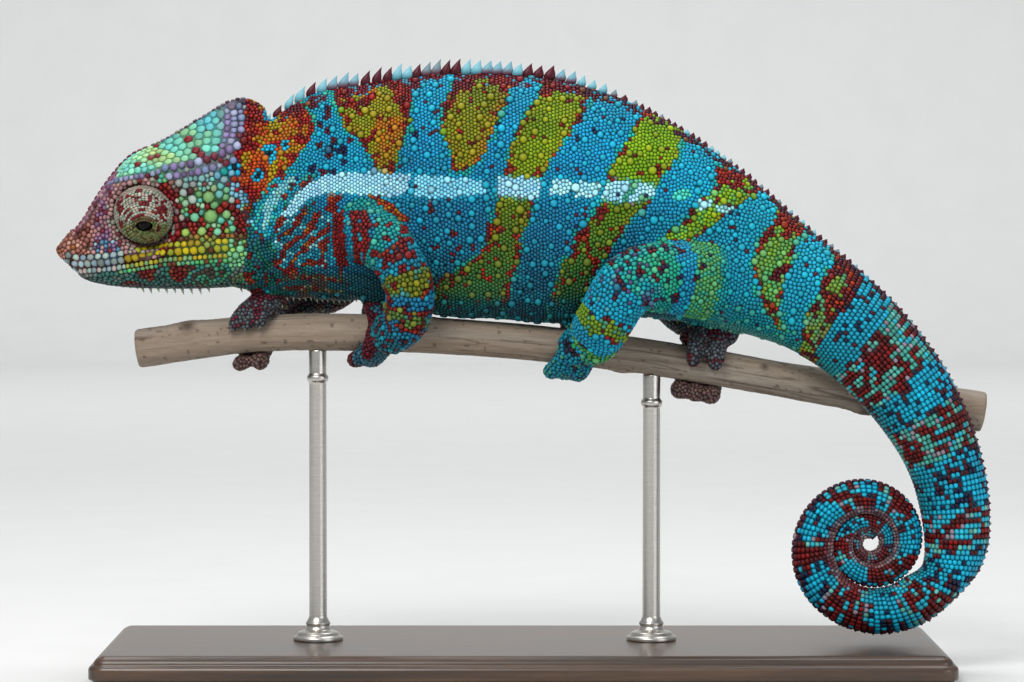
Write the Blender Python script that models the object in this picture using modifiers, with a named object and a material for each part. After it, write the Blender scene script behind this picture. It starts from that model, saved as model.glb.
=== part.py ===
"""A life-size male panther chameleon that grips a short cut branch, on a plain display stand.

Frame: metres, +Z up, origin at the centre of the stand's underside. The head points to -X, and
the animal's left side faces -Y. The tables below are in millimetres; MM turns them into metres.
"""

import math

import bmesh
import bpy
from mathutils import Vector

MM = 0.001
GAP = 0.3  # between solids that meet

# Stand: a flat base and two turned rods under the branch
BASE_LENGTH, BASE_DEPTH, BASE_HEIGHT, BASE_BEVEL = 236.0, 84.0, 8.0, 1.5
ROD_RADIUS, ROD_FLANGE_RADIUS, ROD_FLANGE_HEIGHT = 2.5, 7.0, 2.5
ROD_PLACES = {"stand_rod_front": -57.5, "stand_rod_rear": 36.0}
ROD_SIDES = 16

# Branch: centreline x, y, z, then radius
BRANCH_ROWS = [
    (-108, 0, 89.9, 5.4),
    (-76, 0, 93.9, 5.2),
    (-44, 0, 94.4, 5.2),
    (-6, 0, 92.2, 5.0),
    (30, 0, 88.3, 5.0),
    (54, 0.5, 84.4, 5.0),
    (78, 5.5, 80.1, 5.0),
    (100, 9, 76.5, 5.2),
    (130, 8, 71.7, 5.6),
]
BRANCH_RINGS, BRANCH_SIDES = 20, 10

# Body from the nape to the coil: dorsal x, z, ventral x, z, half width, sideways shift
BODY_ROWS = [
    (-80.6, 145.5, -87.0, 107.3, 8.0, 0),
    (-70.3, 154.1, -73.1, 105.6, 9.5, 0),
    (-59.0, 161.1, -60.0, 103.4, 10.8, 0),
    (-45.0, 163.9, -44.2, 102.9, 12.2, 0),
    (-29.0, 166.2, -26.0, 99.4, 14.4, 0),
    (-8.0, 167.0, -6.0, 98.0, 15.8, 0),
    (14.0, 164.4, 13.0, 96.8, 15.2, 0),
    (36.0, 155.9, 32.0, 98.7, 13.2, 0),
    (58.0, 141.9, 51.0, 96.1, 11.4, 0),
    (77.6, 125.5, 67.0, 92.4, 10.6, -1.5),
    (92.4, 113.1, 78.2, 87.5, 10.0, -4.5),
    (105.4, 100.5, 87.2, 81.1, 9.2, -6.5),
    (118.6, 82.5, 98.4, 69.5, 8.6, -7.0),
    (127.2, 61.9, 107.2, 55.9, 8.0, -6.0),
    (130.2, 41.9, 111.4, 41.3, 7.4, -5.0),
    (127.4, 28.3, 111.6, 30.1, 6.9, -4.5),
]
COIL_CENTRE = (96.6, 35.7)
COIL_RADIUS = 20.7  # of the midline, where the coil begins
COIL_START_DEG, COIL_TURN_DEG, COIL_STEP_DEG = -45.0, 880.0, 18.0
COIL_SHRINK_PER_QUARTER = 0.826
COIL_THICKNESS = 0.68  # of the midline's radius
COIL_HALF_WIDTH = 0.45  # of the tail's thickness
COIL_SHIFT = -4.5
TAIL_ROOT_S, TAIL_ROUND_LENGTH = 165.0, 55.0  # where the ridged trunk becomes the round tail
TRUNK_WIDEST, TAIL_WIDEST = 0.42, 0.5  # height of the widest place, from the belly up
TRUNK_RIDGE, TAIL_RIDGE, BELLY_ROUND = 1.4, 1.0, 0.85
# Each length of the body: name, where it ends along the midline, rings, sides
BODY_PARTS = [
    ("neck", 24.0, 5, 18),
    ("chest", 70.0, 8, 18),
    ("belly", 116.0, 8, 18),
    ("pelvis", 163.0, 8, 16),
    ("tail_1_root", 207.0, 7, 14),
    ("tail_2_hanging", 263.0, 10, 12),
    ("tail_3_outer_coil", 320.0, 16, 10),
    ("tail_4_middle_coil", 361.0, 16, 9),
    ("tail_5_tip", None, 18, 7),
]

# Spines of the back: one row of cones along the ridge
SPINE_FIRST_S, SPINE_LAST_S, SPINE_PITCH = 15.0, 140.0, 4.3
SPINE_HEIGHT, SPINE_RADIUS, SPINE_LEAN = 3.9, 1.3, 0.6

# Head: x, then top z, crest z and half width, temple z and half width, jaw z and half width, bottom z
HEAD_ROWS = [
    (-130.6, 117.9, 117.4, 1.2, 116.7, 1.8, 115.9, 1.6, 115.1),
    (-128.0, 120.2, 119.3, 2.4, 117.4, 3.2, 114.1, 3.0, 112.7),
    (-123.0, 126.0, 124.1, 4.0, 119.3, 4.8, 112.9, 5.0, 109.3),
    (-117.0, 135.3, 132.9, 5.6, 122.5, 5.8, 113.1, 7.0, 107.7),
    (-110.0, 143.5, 139.1, 7.8, 125.5, 6.4, 113.9, 9.0, 106.9),
    (-101.0, 147.9, 140.1, 9.6, 126.5, 7.8, 115.1, 10.8, 106.6),
    (-91.0, 153.7, 141.9, 9.6, 127.1, 9.8, 115.9, 11.9, 106.6),
    (-82.0, 159.1, 145.1, 7.8, 127.5, 10.2, 115.9, 11.6, 106.9),
    (-76.0, 159.9, 148.5, 6.2, 127.9, 9.6, 115.3, 10.6, 106.5),
    (-70.0, 155.9, 149.5, 5.6, 127.9, 9.0, 114.9, 9.8, 106.1),
]
HEAD_RINGS, HEAD_STEPS = 15, 2  # rings, and sides between two key points of a ring
CHIN_WIDTH, CHIN_RISE = 0.62, 0.16  # of the jaw's half width and of its height
NAPE_CUT = ((-73.6, 161.5), (-79.6, 103.5))  # the plane between head and neck, side view
# Side view outlines of the regions that become nodes of their own
MOUTH_LINE = [(-136, 113.7), (-129, 113.7), (-124, 112.4), (-115, 113.1), (-99, 115.8), (-83, 116.9)]
JAW_REGION = MOUTH_LINE + [(-81, 112.5), (-80, 95.5), (-136, 95.5)]
CASQUE_REGION = [(-112, 165.5), (-110.5, 138.5), (-99, 138.5), (-90, 140.5), (-80, 144.5), (-66, 152.5), (-66, 165.5)]

# Eyes: a turret that turns in the head, and the eyeball in its small opening
EYE_CENTRE = (-106.0, 6.4, 127.9)
TURRET_RADIUS, TURRET_ROOT = 8.3, 1.4
EYEBALL_RADIUS, EYEBALL_DEPTH = 2.9, 0.0  # its top lies this far below the turret's
GAZE_DOWN_DEG = 24.0
TURRET_SIDES = 16

# Limbs: midline x, y, z, then radius in the side view and across. y grows away from the body.
LIMB_ROWS = {
    "fore_left": [
        (-50.0, 5.0, 125.0, 8.4, 5.0),
        (-44.0, 12.5, 123.0, 8.2, 6.0),
        (-35.8, 18.0, 116.5, 7.2, 6.4),
        (-31.4, 20.0, 107.5, 6.9, 6.2),
        (-32.4, 17.0, 98.9, 6.8, 5.8),
        (-37.2, 12.0, 94.1, 6.0, 4.8),
        (-39.2, 10.0, 93.1, 4.6, 3.8),
    ],
    "fore_right": [
        (-50.0, 5.0, 124.0, 8.0, 5.0),
        (-48.0, 12.5, 120.0, 7.6, 6.0),
        (-48.5, 18.0, 111.5, 6.4, 5.8),
        (-54.0, 17.5, 105.3, 5.6, 5.4),
        (-62.0, 11.5, 103.1, 4.8, 5.0),
        (-69.6, 5.2, 102.5, 3.8, 4.2),
    ],
    "hind_left": [
        (69.0, 2.0, 105.5, 8.6, 5.0),
        (60.0, 6.5, 107.1, 10.4, 6.6),
        (48.0, 12.5, 108.9, 10.4, 7.4),
        (35.0, 18.2, 110.1, 9.6, 7.6),
        (28.2, 20.6, 107.6, 8.6, 7.2),
        (22.4, 18.2, 98.3, 8.0, 6.6),
        (18.8, 12.8, 92.3, 7.4, 5.2),
        (16.6, 10.6, 91.1, 5.6, 4.2),
    ],
    "hind_right": [
        (69.0, 2.0, 105.5, 8.6, 5.0),
        (61.0, 7.5, 108.0, 9.8, 6.6),
        (52.5, 13.5, 110.6, 8.4, 7.0),
        (45.0, 18.0, 111.0, 7.2, 6.8),
        (41.0, 20.4, 107.2, 6.2, 6.2),
        (42.0, 19.8, 102.2, 5.6, 5.8),
        (45.4, 16.6, 98.4, 5.2, 5.4),
        (49.6, 12.0, 96.2, 4.8, 5.0),
        (51.4, 5.6, 93.3, 2.6, 3.4),
    ],
}
LIMB_PARTS = {"fore": ("upper_arm", "forearm", "hand"), "hind": ("thigh", "shank", "foot")}
JOINT_SHARE = {"fore": 0.52, "hind": 0.58}  # elbow or knee, as a share of the midline
LIMB_RINGS, LIMB_SIDES = 6, 11

# Feet: place along the branch, angle of the palm from the branch's top towards the animal's own
# side, the palm's half sizes along the branch, round it and off it; then for the outer and the
# inner bundle the number of toes, angle of the tips, toe pitch, toe radius and drift along x
FEET = {
    "fore_left": (-38.4, 92, (5.6, 5.4, 3.8), (2, 166, 4.4, 2.9, -6.5), (3, -52, 3.2, 2.1, -2.5)),
    "fore_right": (-72.6, 8, (6.2, 5.4, 3.3), (2, 192, 5.0, 3.0, -4.0), (3, -64, 3.8, 2.4, -4.0)),
    "hind_left": (16.0, 84, (6.8, 6.0, 4.0), (3, 162, 3.8, 2.9, -4.5), (2, -48, 3.8, 1.8, -2.5)),
    "hind_right": (52.0, 8, (8.6, 5.6, 3.2), (3, 192, 4.4, 3.2, -4.0), (2, -76, 6.0, 3.0, -1.5)),
}
TOE_TAPER, TOE_RINGS, TOE_SIDES = 0.82, 4, 6
CLAW_RADIUS, CLAW_LENGTH = 0.8, 1.8

COLOURS = {  # base colour and roughness
    "turquoise_skin": ((0.03, 0.42, 0.55), 0.55),
    "olive_skin": ((0.28, 0.36, 0.05), 0.55),
    "red_skin": ((0.25, 0.02, 0.02), 0.55),
    "casque_skin": ((0.22, 0.52, 0.36), 0.5),
    "turret_skin": ((0.36, 0.24, 0.18), 0.55),
    "eye": ((0.01, 0.01, 0.01), 0.1),
    "bark": ((0.30, 0.22, 0.16), 0.85),
    "stand_wood": ((0.045, 0.028, 0.02), 0.45),
    "stand_metal": ((0.5, 0.48, 0.45), 0.3),
}
METALS = {"stand_metal"}


def material(name):
    """The named Principled material, made the first time that it is asked for."""
    found = bpy.data.materials.get(name)
    if found:
        return found
    colour, roughness = COLOURS[name]
    made = bpy.data.materials.new(name)
    made.use_nodes = True
    shader = made.node_tree.nodes["Principled BSDF"]
    shader.inputs["Base Color"].default_value = (*colour, 1)
    shader.inputs["Roughness"].default_value = roughness
    shader.inputs["Metallic"].default_value = 1.0 if name in METALS else 0.0
    return made


class Track:
    """Rows of numbers joined by a smooth curve, read by distance along its midline."""

    def __init__(self, rows, place):
        self.rows = rows
        self.knots = [0.0]
        for a, b in zip(rows, rows[1:]):
            self.knots.append(self.knots[-1] + (place(b) - place(a)).length)
        self.place = place
        self.length = self.knots[-1]

    def slope(self, i, column):
        low, high = max(i - 1, 0), min(i + 1, len(self.rows) - 1)
        rise = self.rows[high][column] - self.rows[low][column]
        return rise / (self.knots[high] - self.knots[low])

    def at(self, s):
        s = min(max(s, 0.0), self.length)
        i = max(j for j in range(len(self.rows) - 1) if self.knots[j] <= s)
        span = self.knots[i + 1] - self.knots[i]
        t = (s - self.knots[i]) / span
        row = []
        for column in range(len(self.rows[0])):
            a, b = self.rows[i][column], self.rows[i + 1][column]
            slope_a, slope_b = self.slope(i, column) * span, self.slope(i + 1, column) * span
            row.append(
                a * (1 + 2 * t) * (1 - t) ** 2
                + slope_a * t * (1 - t) ** 2
                + b * (3 - 2 * t) * t**2
                + slope_b * (t - 1) * t**2
            )
        return row

    def direction(self, s):
        step = 0.5
        return (self.place(self.at(s + step)) - self.place(self.at(s - step))).normalized()


def coil_rows():
    """Rows of the tail's coil, a spiral whose radius shrinks evenly with the angle."""
    rows = []
    turned = 0.0
    while turned <= COIL_TURN_DEG:
        angle = math.radians(COIL_START_DEG - turned)
        radius = COIL_RADIUS * COIL_SHRINK_PER_QUARTER ** (turned / 90)
        thickness = COIL_THICKNESS * radius
        outer, inner = radius + thickness / 2, radius - thickness / 2
        out_x, out_z = math.cos(angle), math.sin(angle)
        rows.append(
            (
                COIL_CENTRE[0] + outer * out_x,
                COIL_CENTRE[1] + outer * out_z,
                COIL_CENTRE[0] + inner * out_x,
                COIL_CENTRE[1] + inner * out_z,
                COIL_HALF_WIDTH * thickness,
                COIL_SHIFT,
            )
        )
        turned += COIL_STEP_DEG
    return rows


def body_middle(row):
    return Vector(((row[0] + row[2]) / 2, row[5], (row[1] + row[3]) / 2))


def limb_middle(row):
    return Vector(row[:3])


BODY = Track(BODY_ROWS + coil_rows(), body_middle)
BRANCH = Track(BRANCH_ROWS, limb_middle)
HEAD = Track(HEAD_ROWS, lambda row: Vector((row[0], 0, 0)))


def body_ring(s, sides, grow=0.0):
    """A ring round the body: ridged above on the trunk, rounder below and on the tail."""
    top_x, top_z, low_x, low_z, half, shift = BODY.at(s)
    to_tail = min(max((s - TAIL_ROOT_S) / TAIL_ROUND_LENGTH, 0), 1)
    widest = TRUNK_WIDEST + (TAIL_WIDEST - TRUNK_WIDEST) * to_tail
    ridge = TRUNK_RIDGE + (TAIL_RIDGE - TRUNK_RIDGE) * to_tail
    belly = BELLY_ROUND + (1 - BELLY_ROUND) * to_tail
    up = Vector((top_x - low_x, 0, top_z - low_z))
    height = up.length
    up.normalize()
    ring = []
    for i in range(sides):
        angle = math.tau * i / sides
        c, w = math.cos(angle), math.sin(angle)
        reach = (1 - widest) * height + grow if c > 0 else widest * height + grow
        bulge = (half + grow) * abs(w) ** (ridge if c > 0 else belly)
        middle = Vector((low_x, shift, low_z)) + up * (widest * height)
        ring.append(middle + up * (c * reach) + Vector((0, -math.copysign(bulge, w), 0)))
    return ring


def head_ring(s, steps, grow=0.0):
    """A ring round the head: a roof with a crest along each edge, temples, jaws and chin."""
    x, top, crest_z, crest, temple_z, temple, jaw_z, jaw, bottom = HEAD.at(s)
    chin_z = bottom + CHIN_RISE * (jaw_z - bottom)
    keys = [
        (0, top + grow),
        (crest + grow, crest_z + grow),
        (temple + grow, temple_z),
        (jaw + grow, jaw_z),
        (CHIN_WIDTH * jaw + grow, chin_z - grow),
        (0, bottom - grow),
    ]
    half = []
    for i, (a, b) in enumerate(zip(keys, keys[1:])):
        before = keys[i - 1] if i else (-keys[1][0], keys[1][1])
        after = keys[i + 2] if i + 2 < len(keys) else (-keys[-2][0], keys[-2][1])
        for j in range(steps):
            t = j / steps
            half.append(
                tuple(
                    b0 * (1 + 2 * t) * (1 - t) ** 2
                    + (b1 - a0) / 2 * t * (1 - t) ** 2
                    + b1 * (3 - 2 * t) * t**2
                    + (c1 - b0) / 2 * (t - 1) * t**2
                    for a0, b0, b1, c1 in zip(before, a, b, after)
                )
            )
    half.append(keys[-1])
    left = [Vector((x, -y, z)) for y, z in half]
    right = [Vector((x, y, z)) for y, z in reversed(half[1:-1])]
    return left + right


def limb_ring(track, s, sides, side, grow=0.0, out=Vector((0, 1, 0))):
    """An oval ring square to a limb's midline; side is -1 on the left and 1 on the right."""
    x, y, z, in_view, across = track.at(s)
    along = track.direction(s)
    out = (out - along * out.dot(along)).normalized()
    flat = along.cross(out)
    ring = []
    for i in range(sides):
        angle = math.tau * i / sides
        point = Vector((x, y, z)) + flat * ((in_view + grow) * math.cos(angle))
        point += out * ((across + grow) * math.sin(angle))
        ring.append(Vector((point.x, side * point.y, point.z)))
    return ring


def new_object(name, mesh, material_name, collection):
    obj = bpy.data.objects.new(name, mesh)
    collection.objects.link(obj)
    if material_name:
        mesh.materials.append(material(material_name))
    return obj


def mesh_of(name, shape, sharp_deg=40):
    """The bmesh as a smooth-shaded mesh in metres, its faces pointing out."""
    bmesh.ops.recalc_face_normals(shape, faces=shape.faces)
    bmesh.ops.scale(shape, vec=(MM, MM, MM), verts=shape.verts)
    mesh = bpy.data.meshes.new(name)
    shape.to_mesh(mesh)
    shape.free()
    mesh.shade_smooth()
    mesh.set_sharp_from_angle(angle=math.radians(sharp_deg))
    return mesh


def loft(name, rings, material_name, collection):
    """A closed solid through rings that have the same number of points."""
    shape = bmesh.new()
    rows = [[shape.verts.new(point) for point in ring] for ring in rings]
    count = len(rows[0])
    for a, b in zip(rows, rows[1:]):
        for i in range(count):
            shape.faces.new((a[i], a[(i + 1) % count], b[(i + 1) % count], b[i]))
    shape.faces.new(list(reversed(rows[0])))
    shape.faces.new(rows[-1])
    return new_object(name, mesh_of(name, shape), material_name, collection)


def prism(name, outline, half_depth, collection, grow=0.0):
    """A cutter: a side view outline, run through the head from side to side and grown by a gap."""
    grown = offset_outline([Vector(p) for p in outline], grow)
    rings = [[Vector((p.x, y, p.y)) for p in grown] for y in (-half_depth, half_depth)]
    return cutter(loft(name, rings, None, collection))


def offset_outline(points, distance):
    """The closed outline with every side moved outward by the distance."""
    count = len(points)
    area = sum(points[i - 1].cross(points[i]) for i in range(count))
    moved = []
    for i, point in enumerate(points):
        before = (point - points[i - 1]).normalized()
        after = (points[(i + 1) % count] - point).normalized()
        normals = [Vector((d.y, -d.x)) * math.copysign(1, area) for d in (before, after)]
        corner = (normals[0] + normals[1]).normalized()
        moved.append(point + corner * (distance / max(corner.dot(normals[0]), 0.3)))
    return moved


def cutter(obj):
    obj.hide_render = True
    obj.display_type = "WIRE"
    return obj


def boolean(obj, operation, other):
    """Adds a Boolean with an object, or with every object of a collection."""
    modifier = obj.modifiers.new(f"{operation.lower()}_{len(obj.modifiers)}", "BOOLEAN")
    modifier.operation = operation
    modifier.solver = "EXACT"
    if isinstance(other, bpy.types.Collection):
        modifier.operand_type = "COLLECTION"
        modifier.collection = other
    else:
        modifier.object = other


def evenly(low, high, count):
    return [low + (high - low) * i / (count - 1) for i in range(count)]


def body_clearance(cutters):
    rings = [body_ring(s, 20, GAP) for s in evenly(0, TAIL_ROOT_S + 45, 40)]
    return cutter(loft("body_clearance", rings, None, cutters))


def spine_cones(start, end, name, cutters):
    """The cones of one stretch of the back, which are joined to that stretch."""
    group = bpy.data.collections.new(f"{name}_spines")
    cutters.children.link(group)
    s = SPINE_FIRST_S
    while s < SPINE_LAST_S:
        if start + SPINE_RADIUS * 1.5 < s < end - SPINE_RADIUS * 1.5:
            top_x, top_z, low_x, low_z = BODY.at(s)[:4]
            up = Vector((top_x - low_x, 0, top_z - low_z)).normalized()
            back = Vector((up.z, 0, -up.x))
            foot = Vector((top_x, 0, top_z)) - up * 1.6
            tip = foot + up * (SPINE_HEIGHT + 1.6) + back * SPINE_LEAN
            corners = [(1.5, 0), (0, 1), (-1.5, 0), (0, -1)]
            ring = [
                foot + back * (SPINE_RADIUS * a) + Vector((0, SPINE_RADIUS * b, 0))
                for a, b in corners
            ]
            high = [tip + (p - foot) * 0.1 for p in ring]
            cutter(loft(f"{name}_spine_{len(group.objects)}", [ring, high], None, group))
        s += SPINE_PITCH
    return group


def make_body(parts, cutters):
    """Neck, trunk and tail: one long loft, parted by thin cuts."""
    start = 2.0
    for name, end, rings, sides in BODY_PARTS:
        end = BODY.length if end is None else end
        last = end - GAP / 2 if end < BODY.length else end
        stations = evenly(start + GAP / 2, last, rings)
        tint = "red_skin" if name.startswith("tail_4") else "turquoise_skin"
        obj = loft(name, [body_ring(s, sides) for s in stations], tint, parts)
        if start < SPINE_LAST_S and end > SPINE_FIRST_S:
            boolean(obj, "UNION", spine_cones(start, end, name, cutters))
        if name == "neck":
            cut_by_plane(obj, nape_plane(GAP / 2), keep_front=False)
        start = end


def nape_plane(offset):
    """A point on the cut between head and neck, moved back by the offset, and its normal."""
    high, low = (Vector((x, 0, z)) for x, z in NAPE_CUT)
    normal = (high - low).normalized().cross(Vector((0, -1, 0)))
    normal *= math.copysign(1, normal.x)
    return high + normal * offset, normal


def cut_by_plane(obj, plane, keep_front):
    """Cuts the mesh at the plane and closes it; the front is the side that the head is on."""
    point, normal = plane
    shape = bmesh.new()
    shape.from_mesh(obj.data)
    bmesh.ops.bisect_plane(
        shape,
        geom=list(shape.verts) + list(shape.edges) + list(shape.faces),
        plane_co=point * MM,
        plane_no=normal,
        clear_outer=keep_front,
        clear_inner=not keep_front,
    )
    bmesh.ops.holes_fill(shape, edges=[e for e in shape.edges if e.is_boundary])
    bmesh.ops.recalc_face_normals(shape, faces=shape.faces)
    shape.to_mesh(obj.data)
    shape.free()


def whole_head(name, tint, parts):
    rings = [head_ring(s, HEAD_STEPS) for s in evenly(0, HEAD.length, HEAD_RINGS)]
    obj = loft(name, rings, tint, parts)
    cut_by_plane(obj, nape_plane(-GAP / 2), keep_front=True)
    return obj


def make_head(parts, cutters):
    """Skull with its eye sockets, casque and lower jaw, each the whole head within a region."""
    skull = whole_head("head", "turquoise_skin", parts)
    casque = whole_head("casque", "casque_skin", parts)
    jaw = whole_head("lower_jaw", "olive_skin", parts)
    half_depth = 20.0
    for piece, outline in ((casque, CASQUE_REGION), (jaw, JAW_REGION)):
        region = prism(f"{piece.name}_region", outline, half_depth, cutters)
        boolean(piece, "INTERSECT", region)
        room = prism(f"{piece.name}_room", outline, half_depth + 1, cutters, GAP)
        boolean(skull, "DIFFERENCE", room)
    for side in (-1, 1):
        tag = "left" if side < 0 else "right"
        turret(f"eye_turret_{tag}", side, 0.0, "turret_skin", parts)
        boolean(skull, "DIFFERENCE", cutter(turret(f"socket_{tag}", side, GAP, None, cutters)))
        eyeball(f"eyeball_{tag}", side, parts)


def gaze(side):
    down = math.radians(GAZE_DOWN_DEG)
    return Vector((0, side * math.cos(down), -math.sin(down)))


def eye_place(side):
    x, y, z = EYE_CENTRE
    return Vector((x, side * y, z))


def arc(radius, height, first_deg, last_deg, count):
    """Profile points on a circle round (0, height), by angle above the horizontal."""
    angles = [math.radians(a) for a in evenly(first_deg, last_deg, count)]
    return [(radius * math.cos(a), height + radius * math.sin(a)) for a in angles]


def turret(name, side, grow, tint, collection):
    """A turned dome with a round pocket for the eyeball, which its small opening holds in."""
    radius = TURRET_RADIUS + grow
    profile = [(0.0, radius)]
    if not grow:
        pocket = EYEBALL_RADIUS + GAP
        pocket_z = TURRET_RADIUS - EYEBALL_DEPTH - EYEBALL_RADIUS
        rim_z = (radius**2 - pocket**2 + pocket_z**2) / (2 * pocket_z)
        rim_deg = math.degrees(math.asin((rim_z - pocket_z) / pocket))
        dome_deg = math.degrees(math.asin(rim_z / radius))
        profile = arc(pocket, pocket_z, -90, rim_deg, 5)
        profile += arc(radius, 0, dome_deg, 0, 6)[1:]
    else:
        profile += arc(radius, 0, 90, 0, 6)[1:]
    profile += [(radius, -TURRET_ROOT - grow), (0.0, -TURRET_ROOT - grow)]
    obj = turned(name, profile, TURRET_SIDES, tint, collection)
    obj.location = eye_place(side) * MM
    obj.rotation_mode = "QUATERNION"
    obj.rotation_quaternion = gaze(side).to_track_quat("Z", "Y")
    return obj


def turned(name, profile, sides, tint, collection):
    """A profile of radius and height, run down its outer side, turned about Z by a Screw."""
    mesh = bpy.data.meshes.new(name)
    points = [(r * MM, 0, z * MM) for r, z in profile]
    mesh.from_pydata(points, [(i, i + 1) for i in range(len(points) - 1)], [])
    obj = new_object(name, mesh, tint, collection)
    screw = obj.modifiers.new("turn", "SCREW")
    screw.steps = screw.render_steps = sides
    screw.use_merge_vertices = True
    screw.merge_threshold = 0.00001
    screw.use_smooth_shade = True
    return obj


def eyeball(name, side, parts):
    shape = bmesh.new()
    bmesh.ops.create_uvsphere(shape, u_segments=10, v_segments=6, radius=EYEBALL_RADIUS)
    ball = new_object(name, mesh_of(name, shape), "eye", parts)
    reach = TURRET_RADIUS - EYEBALL_DEPTH - EYEBALL_RADIUS
    ball.location = (eye_place(side) + gaze(side) * reach) * MM
    ball.rotation_mode = "QUATERNION"
    ball.rotation_quaternion = gaze(side).to_track_quat("Z", "Y")
    return ball


def branch_rings(grow=0.0):
    rings = []
    for s in evenly(0, BRANCH.length, BRANCH_RINGS):
        x, y, z, radius = BRANCH.at(s)
        along = BRANCH.direction(s)
        up = Vector((0, 0, 1)) - along * along.z
        up.normalize()
        out = along.cross(up)
        ring = []
        for i in range(BRANCH_SIDES):
            angle = math.tau * i / BRANCH_SIDES
            reach = (radius + grow) * (up * math.cos(angle) + out * math.sin(angle))
            ring.append(Vector((x, y, z)) + reach)
        rings.append(ring)
    return rings


def branch_row_at_x(x):
    """The branch's row at a place along X, found by halving."""
    low, high = 0.0, BRANCH.length
    for _ in range(30):
        middle = (low + high) / 2
        if BRANCH.at(middle)[0] < x:
            low = middle
        else:
            high = middle
    return BRANCH.at(low)


def round_branch(x, angle_deg, clearance, side):
    """A point off the branch's surface: 0 degrees is on top, 90 on the animal's own side."""
    _, y, z, radius = branch_row_at_x(x)
    angle = math.radians(angle_deg)
    reach = radius + clearance
    return Vector((x, y + side * reach * math.sin(angle), z + reach * math.cos(angle)))


def toe_rings(x_root, x_tip, palm_deg, tip_deg, thickness, side, grow):
    """A toe that bends round the branch and ends in a claw."""
    rows = []
    for i in range(TOE_RINGS):
        t = i / (TOE_RINGS - 1)
        radius = thickness * (1 + (TOE_TAPER - 1) * t)
        x = x_root + (x_tip - x_root) * t
        centre = round_branch(x, palm_deg + (tip_deg - palm_deg) * t, radius + GAP, side)
        rows.append((*centre, radius, radius))
    ahead = (Vector(rows[-1][:3]) - Vector(rows[-2][:3])).normalized()
    root = Vector(rows[-1][:3]) + ahead * radius * 0.9
    tip = root + ahead * CLAW_LENGTH
    rows.append((*root, CLAW_RADIUS * 1.3, CLAW_RADIUS * 1.3))
    rows.append((*tip, 0.15, 0.15))
    track = Track(rows, limb_middle)
    return [limb_ring(track, s, TOE_SIDES, 1, grow, Vector((1, 0, 0))) for s in track.knots]


def palm(name, place, palm_deg, half_sizes, side, grow, tint, collection):
    shape = bmesh.new()
    bmesh.ops.create_uvsphere(shape, u_segments=10, v_segments=6, radius=1.0)
    bmesh.ops.scale(shape, vec=[half + grow for half in half_sizes], verts=shape.verts)
    obj = new_object(name, mesh_of(name, shape), tint, collection)
    obj.location = round_branch(place, palm_deg, half_sizes[2], side) * MM
    obj.rotation_euler = (-side * math.radians(palm_deg), 0, 0)
    return obj


def foot_pieces(key, grow, tint, palm_home, toes_home):
    """The palm, and the toes of both bundles; grow makes them the room cut from the limb."""
    side = -1 if key.endswith("left") else 1
    place, palm_deg, half_sizes, outer, inner = FEET[key]
    kind = LIMB_PARTS[key.split("_")[0]][2]
    suffix = "_room" if grow else ""
    name = f"{kind}_{key.split('_')[1]}{suffix}"
    made = palm(name, place, palm_deg, half_sizes, side, grow, tint, palm_home)
    for bundle, toes in (("outer", outer), ("inner", inner)):
        count, tip_deg, pitch, thickness, drift = toes
        for i in range(count):
            spread = pitch * (i - (count - 1) / 2)
            root_x, tip_x = place + spread * 0.7, place + spread + drift
            rings = toe_rings(root_x, tip_x, palm_deg, tip_deg, thickness, side, grow)
            cutter(loft(f"{name}_{bundle}_toe_{i + 1}", rings, None, toes_home))
    return made


def make_limb(key, parts, cutters, branch_room, body_room):
    """Upper and lower limb, parted at the elbow or knee, and the foot round the branch."""
    kind, tag = key.split("_")
    side = -1 if tag == "left" else 1
    upper, lower, _ = LIMB_PARTS[kind]
    track = Track(LIMB_ROWS[key], limb_middle)
    joint = JOINT_SHARE[kind] * track.length
    toes, room = (bpy.data.collections.new(f"{key}_{what}") for what in ("toes", "room"))
    cutters.children.link(toes)
    cutters.children.link(room)
    foot = foot_pieces(key, 0.0, "turquoise_skin", parts, toes)
    cutter(foot_pieces(key, GAP, None, room, room))
    boolean(foot, "UNION", toes)
    boolean(foot, "DIFFERENCE", branch_room)
    boolean(foot, "DIFFERENCE", body_room)

    def length_of_limb(name, start, end, grow, tint, home):
        stations = evenly(start, end, LIMB_RINGS)
        rings = [limb_ring(track, s, LIMB_SIDES, side, grow) for s in stations]
        return loft(f"{name}_{tag}", rings, tint, home)

    tint = "turquoise_skin"
    upper_limb = length_of_limb(upper, 0.0, joint - GAP / 2, 0.0, tint, parts)
    lower_limb = length_of_limb(lower, joint + GAP / 2, track.length, 0.0, tint, parts)
    cutter(length_of_limb(f"{upper}_room", 0.0, joint - GAP / 2, GAP, None, room))
    boolean(upper_limb, "DIFFERENCE", body_room)
    boolean(lower_limb, "DIFFERENCE", body_room)
    boolean(lower_limb, "DIFFERENCE", room)
    boolean(lower_limb, "DIFFERENCE", branch_room)


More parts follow.
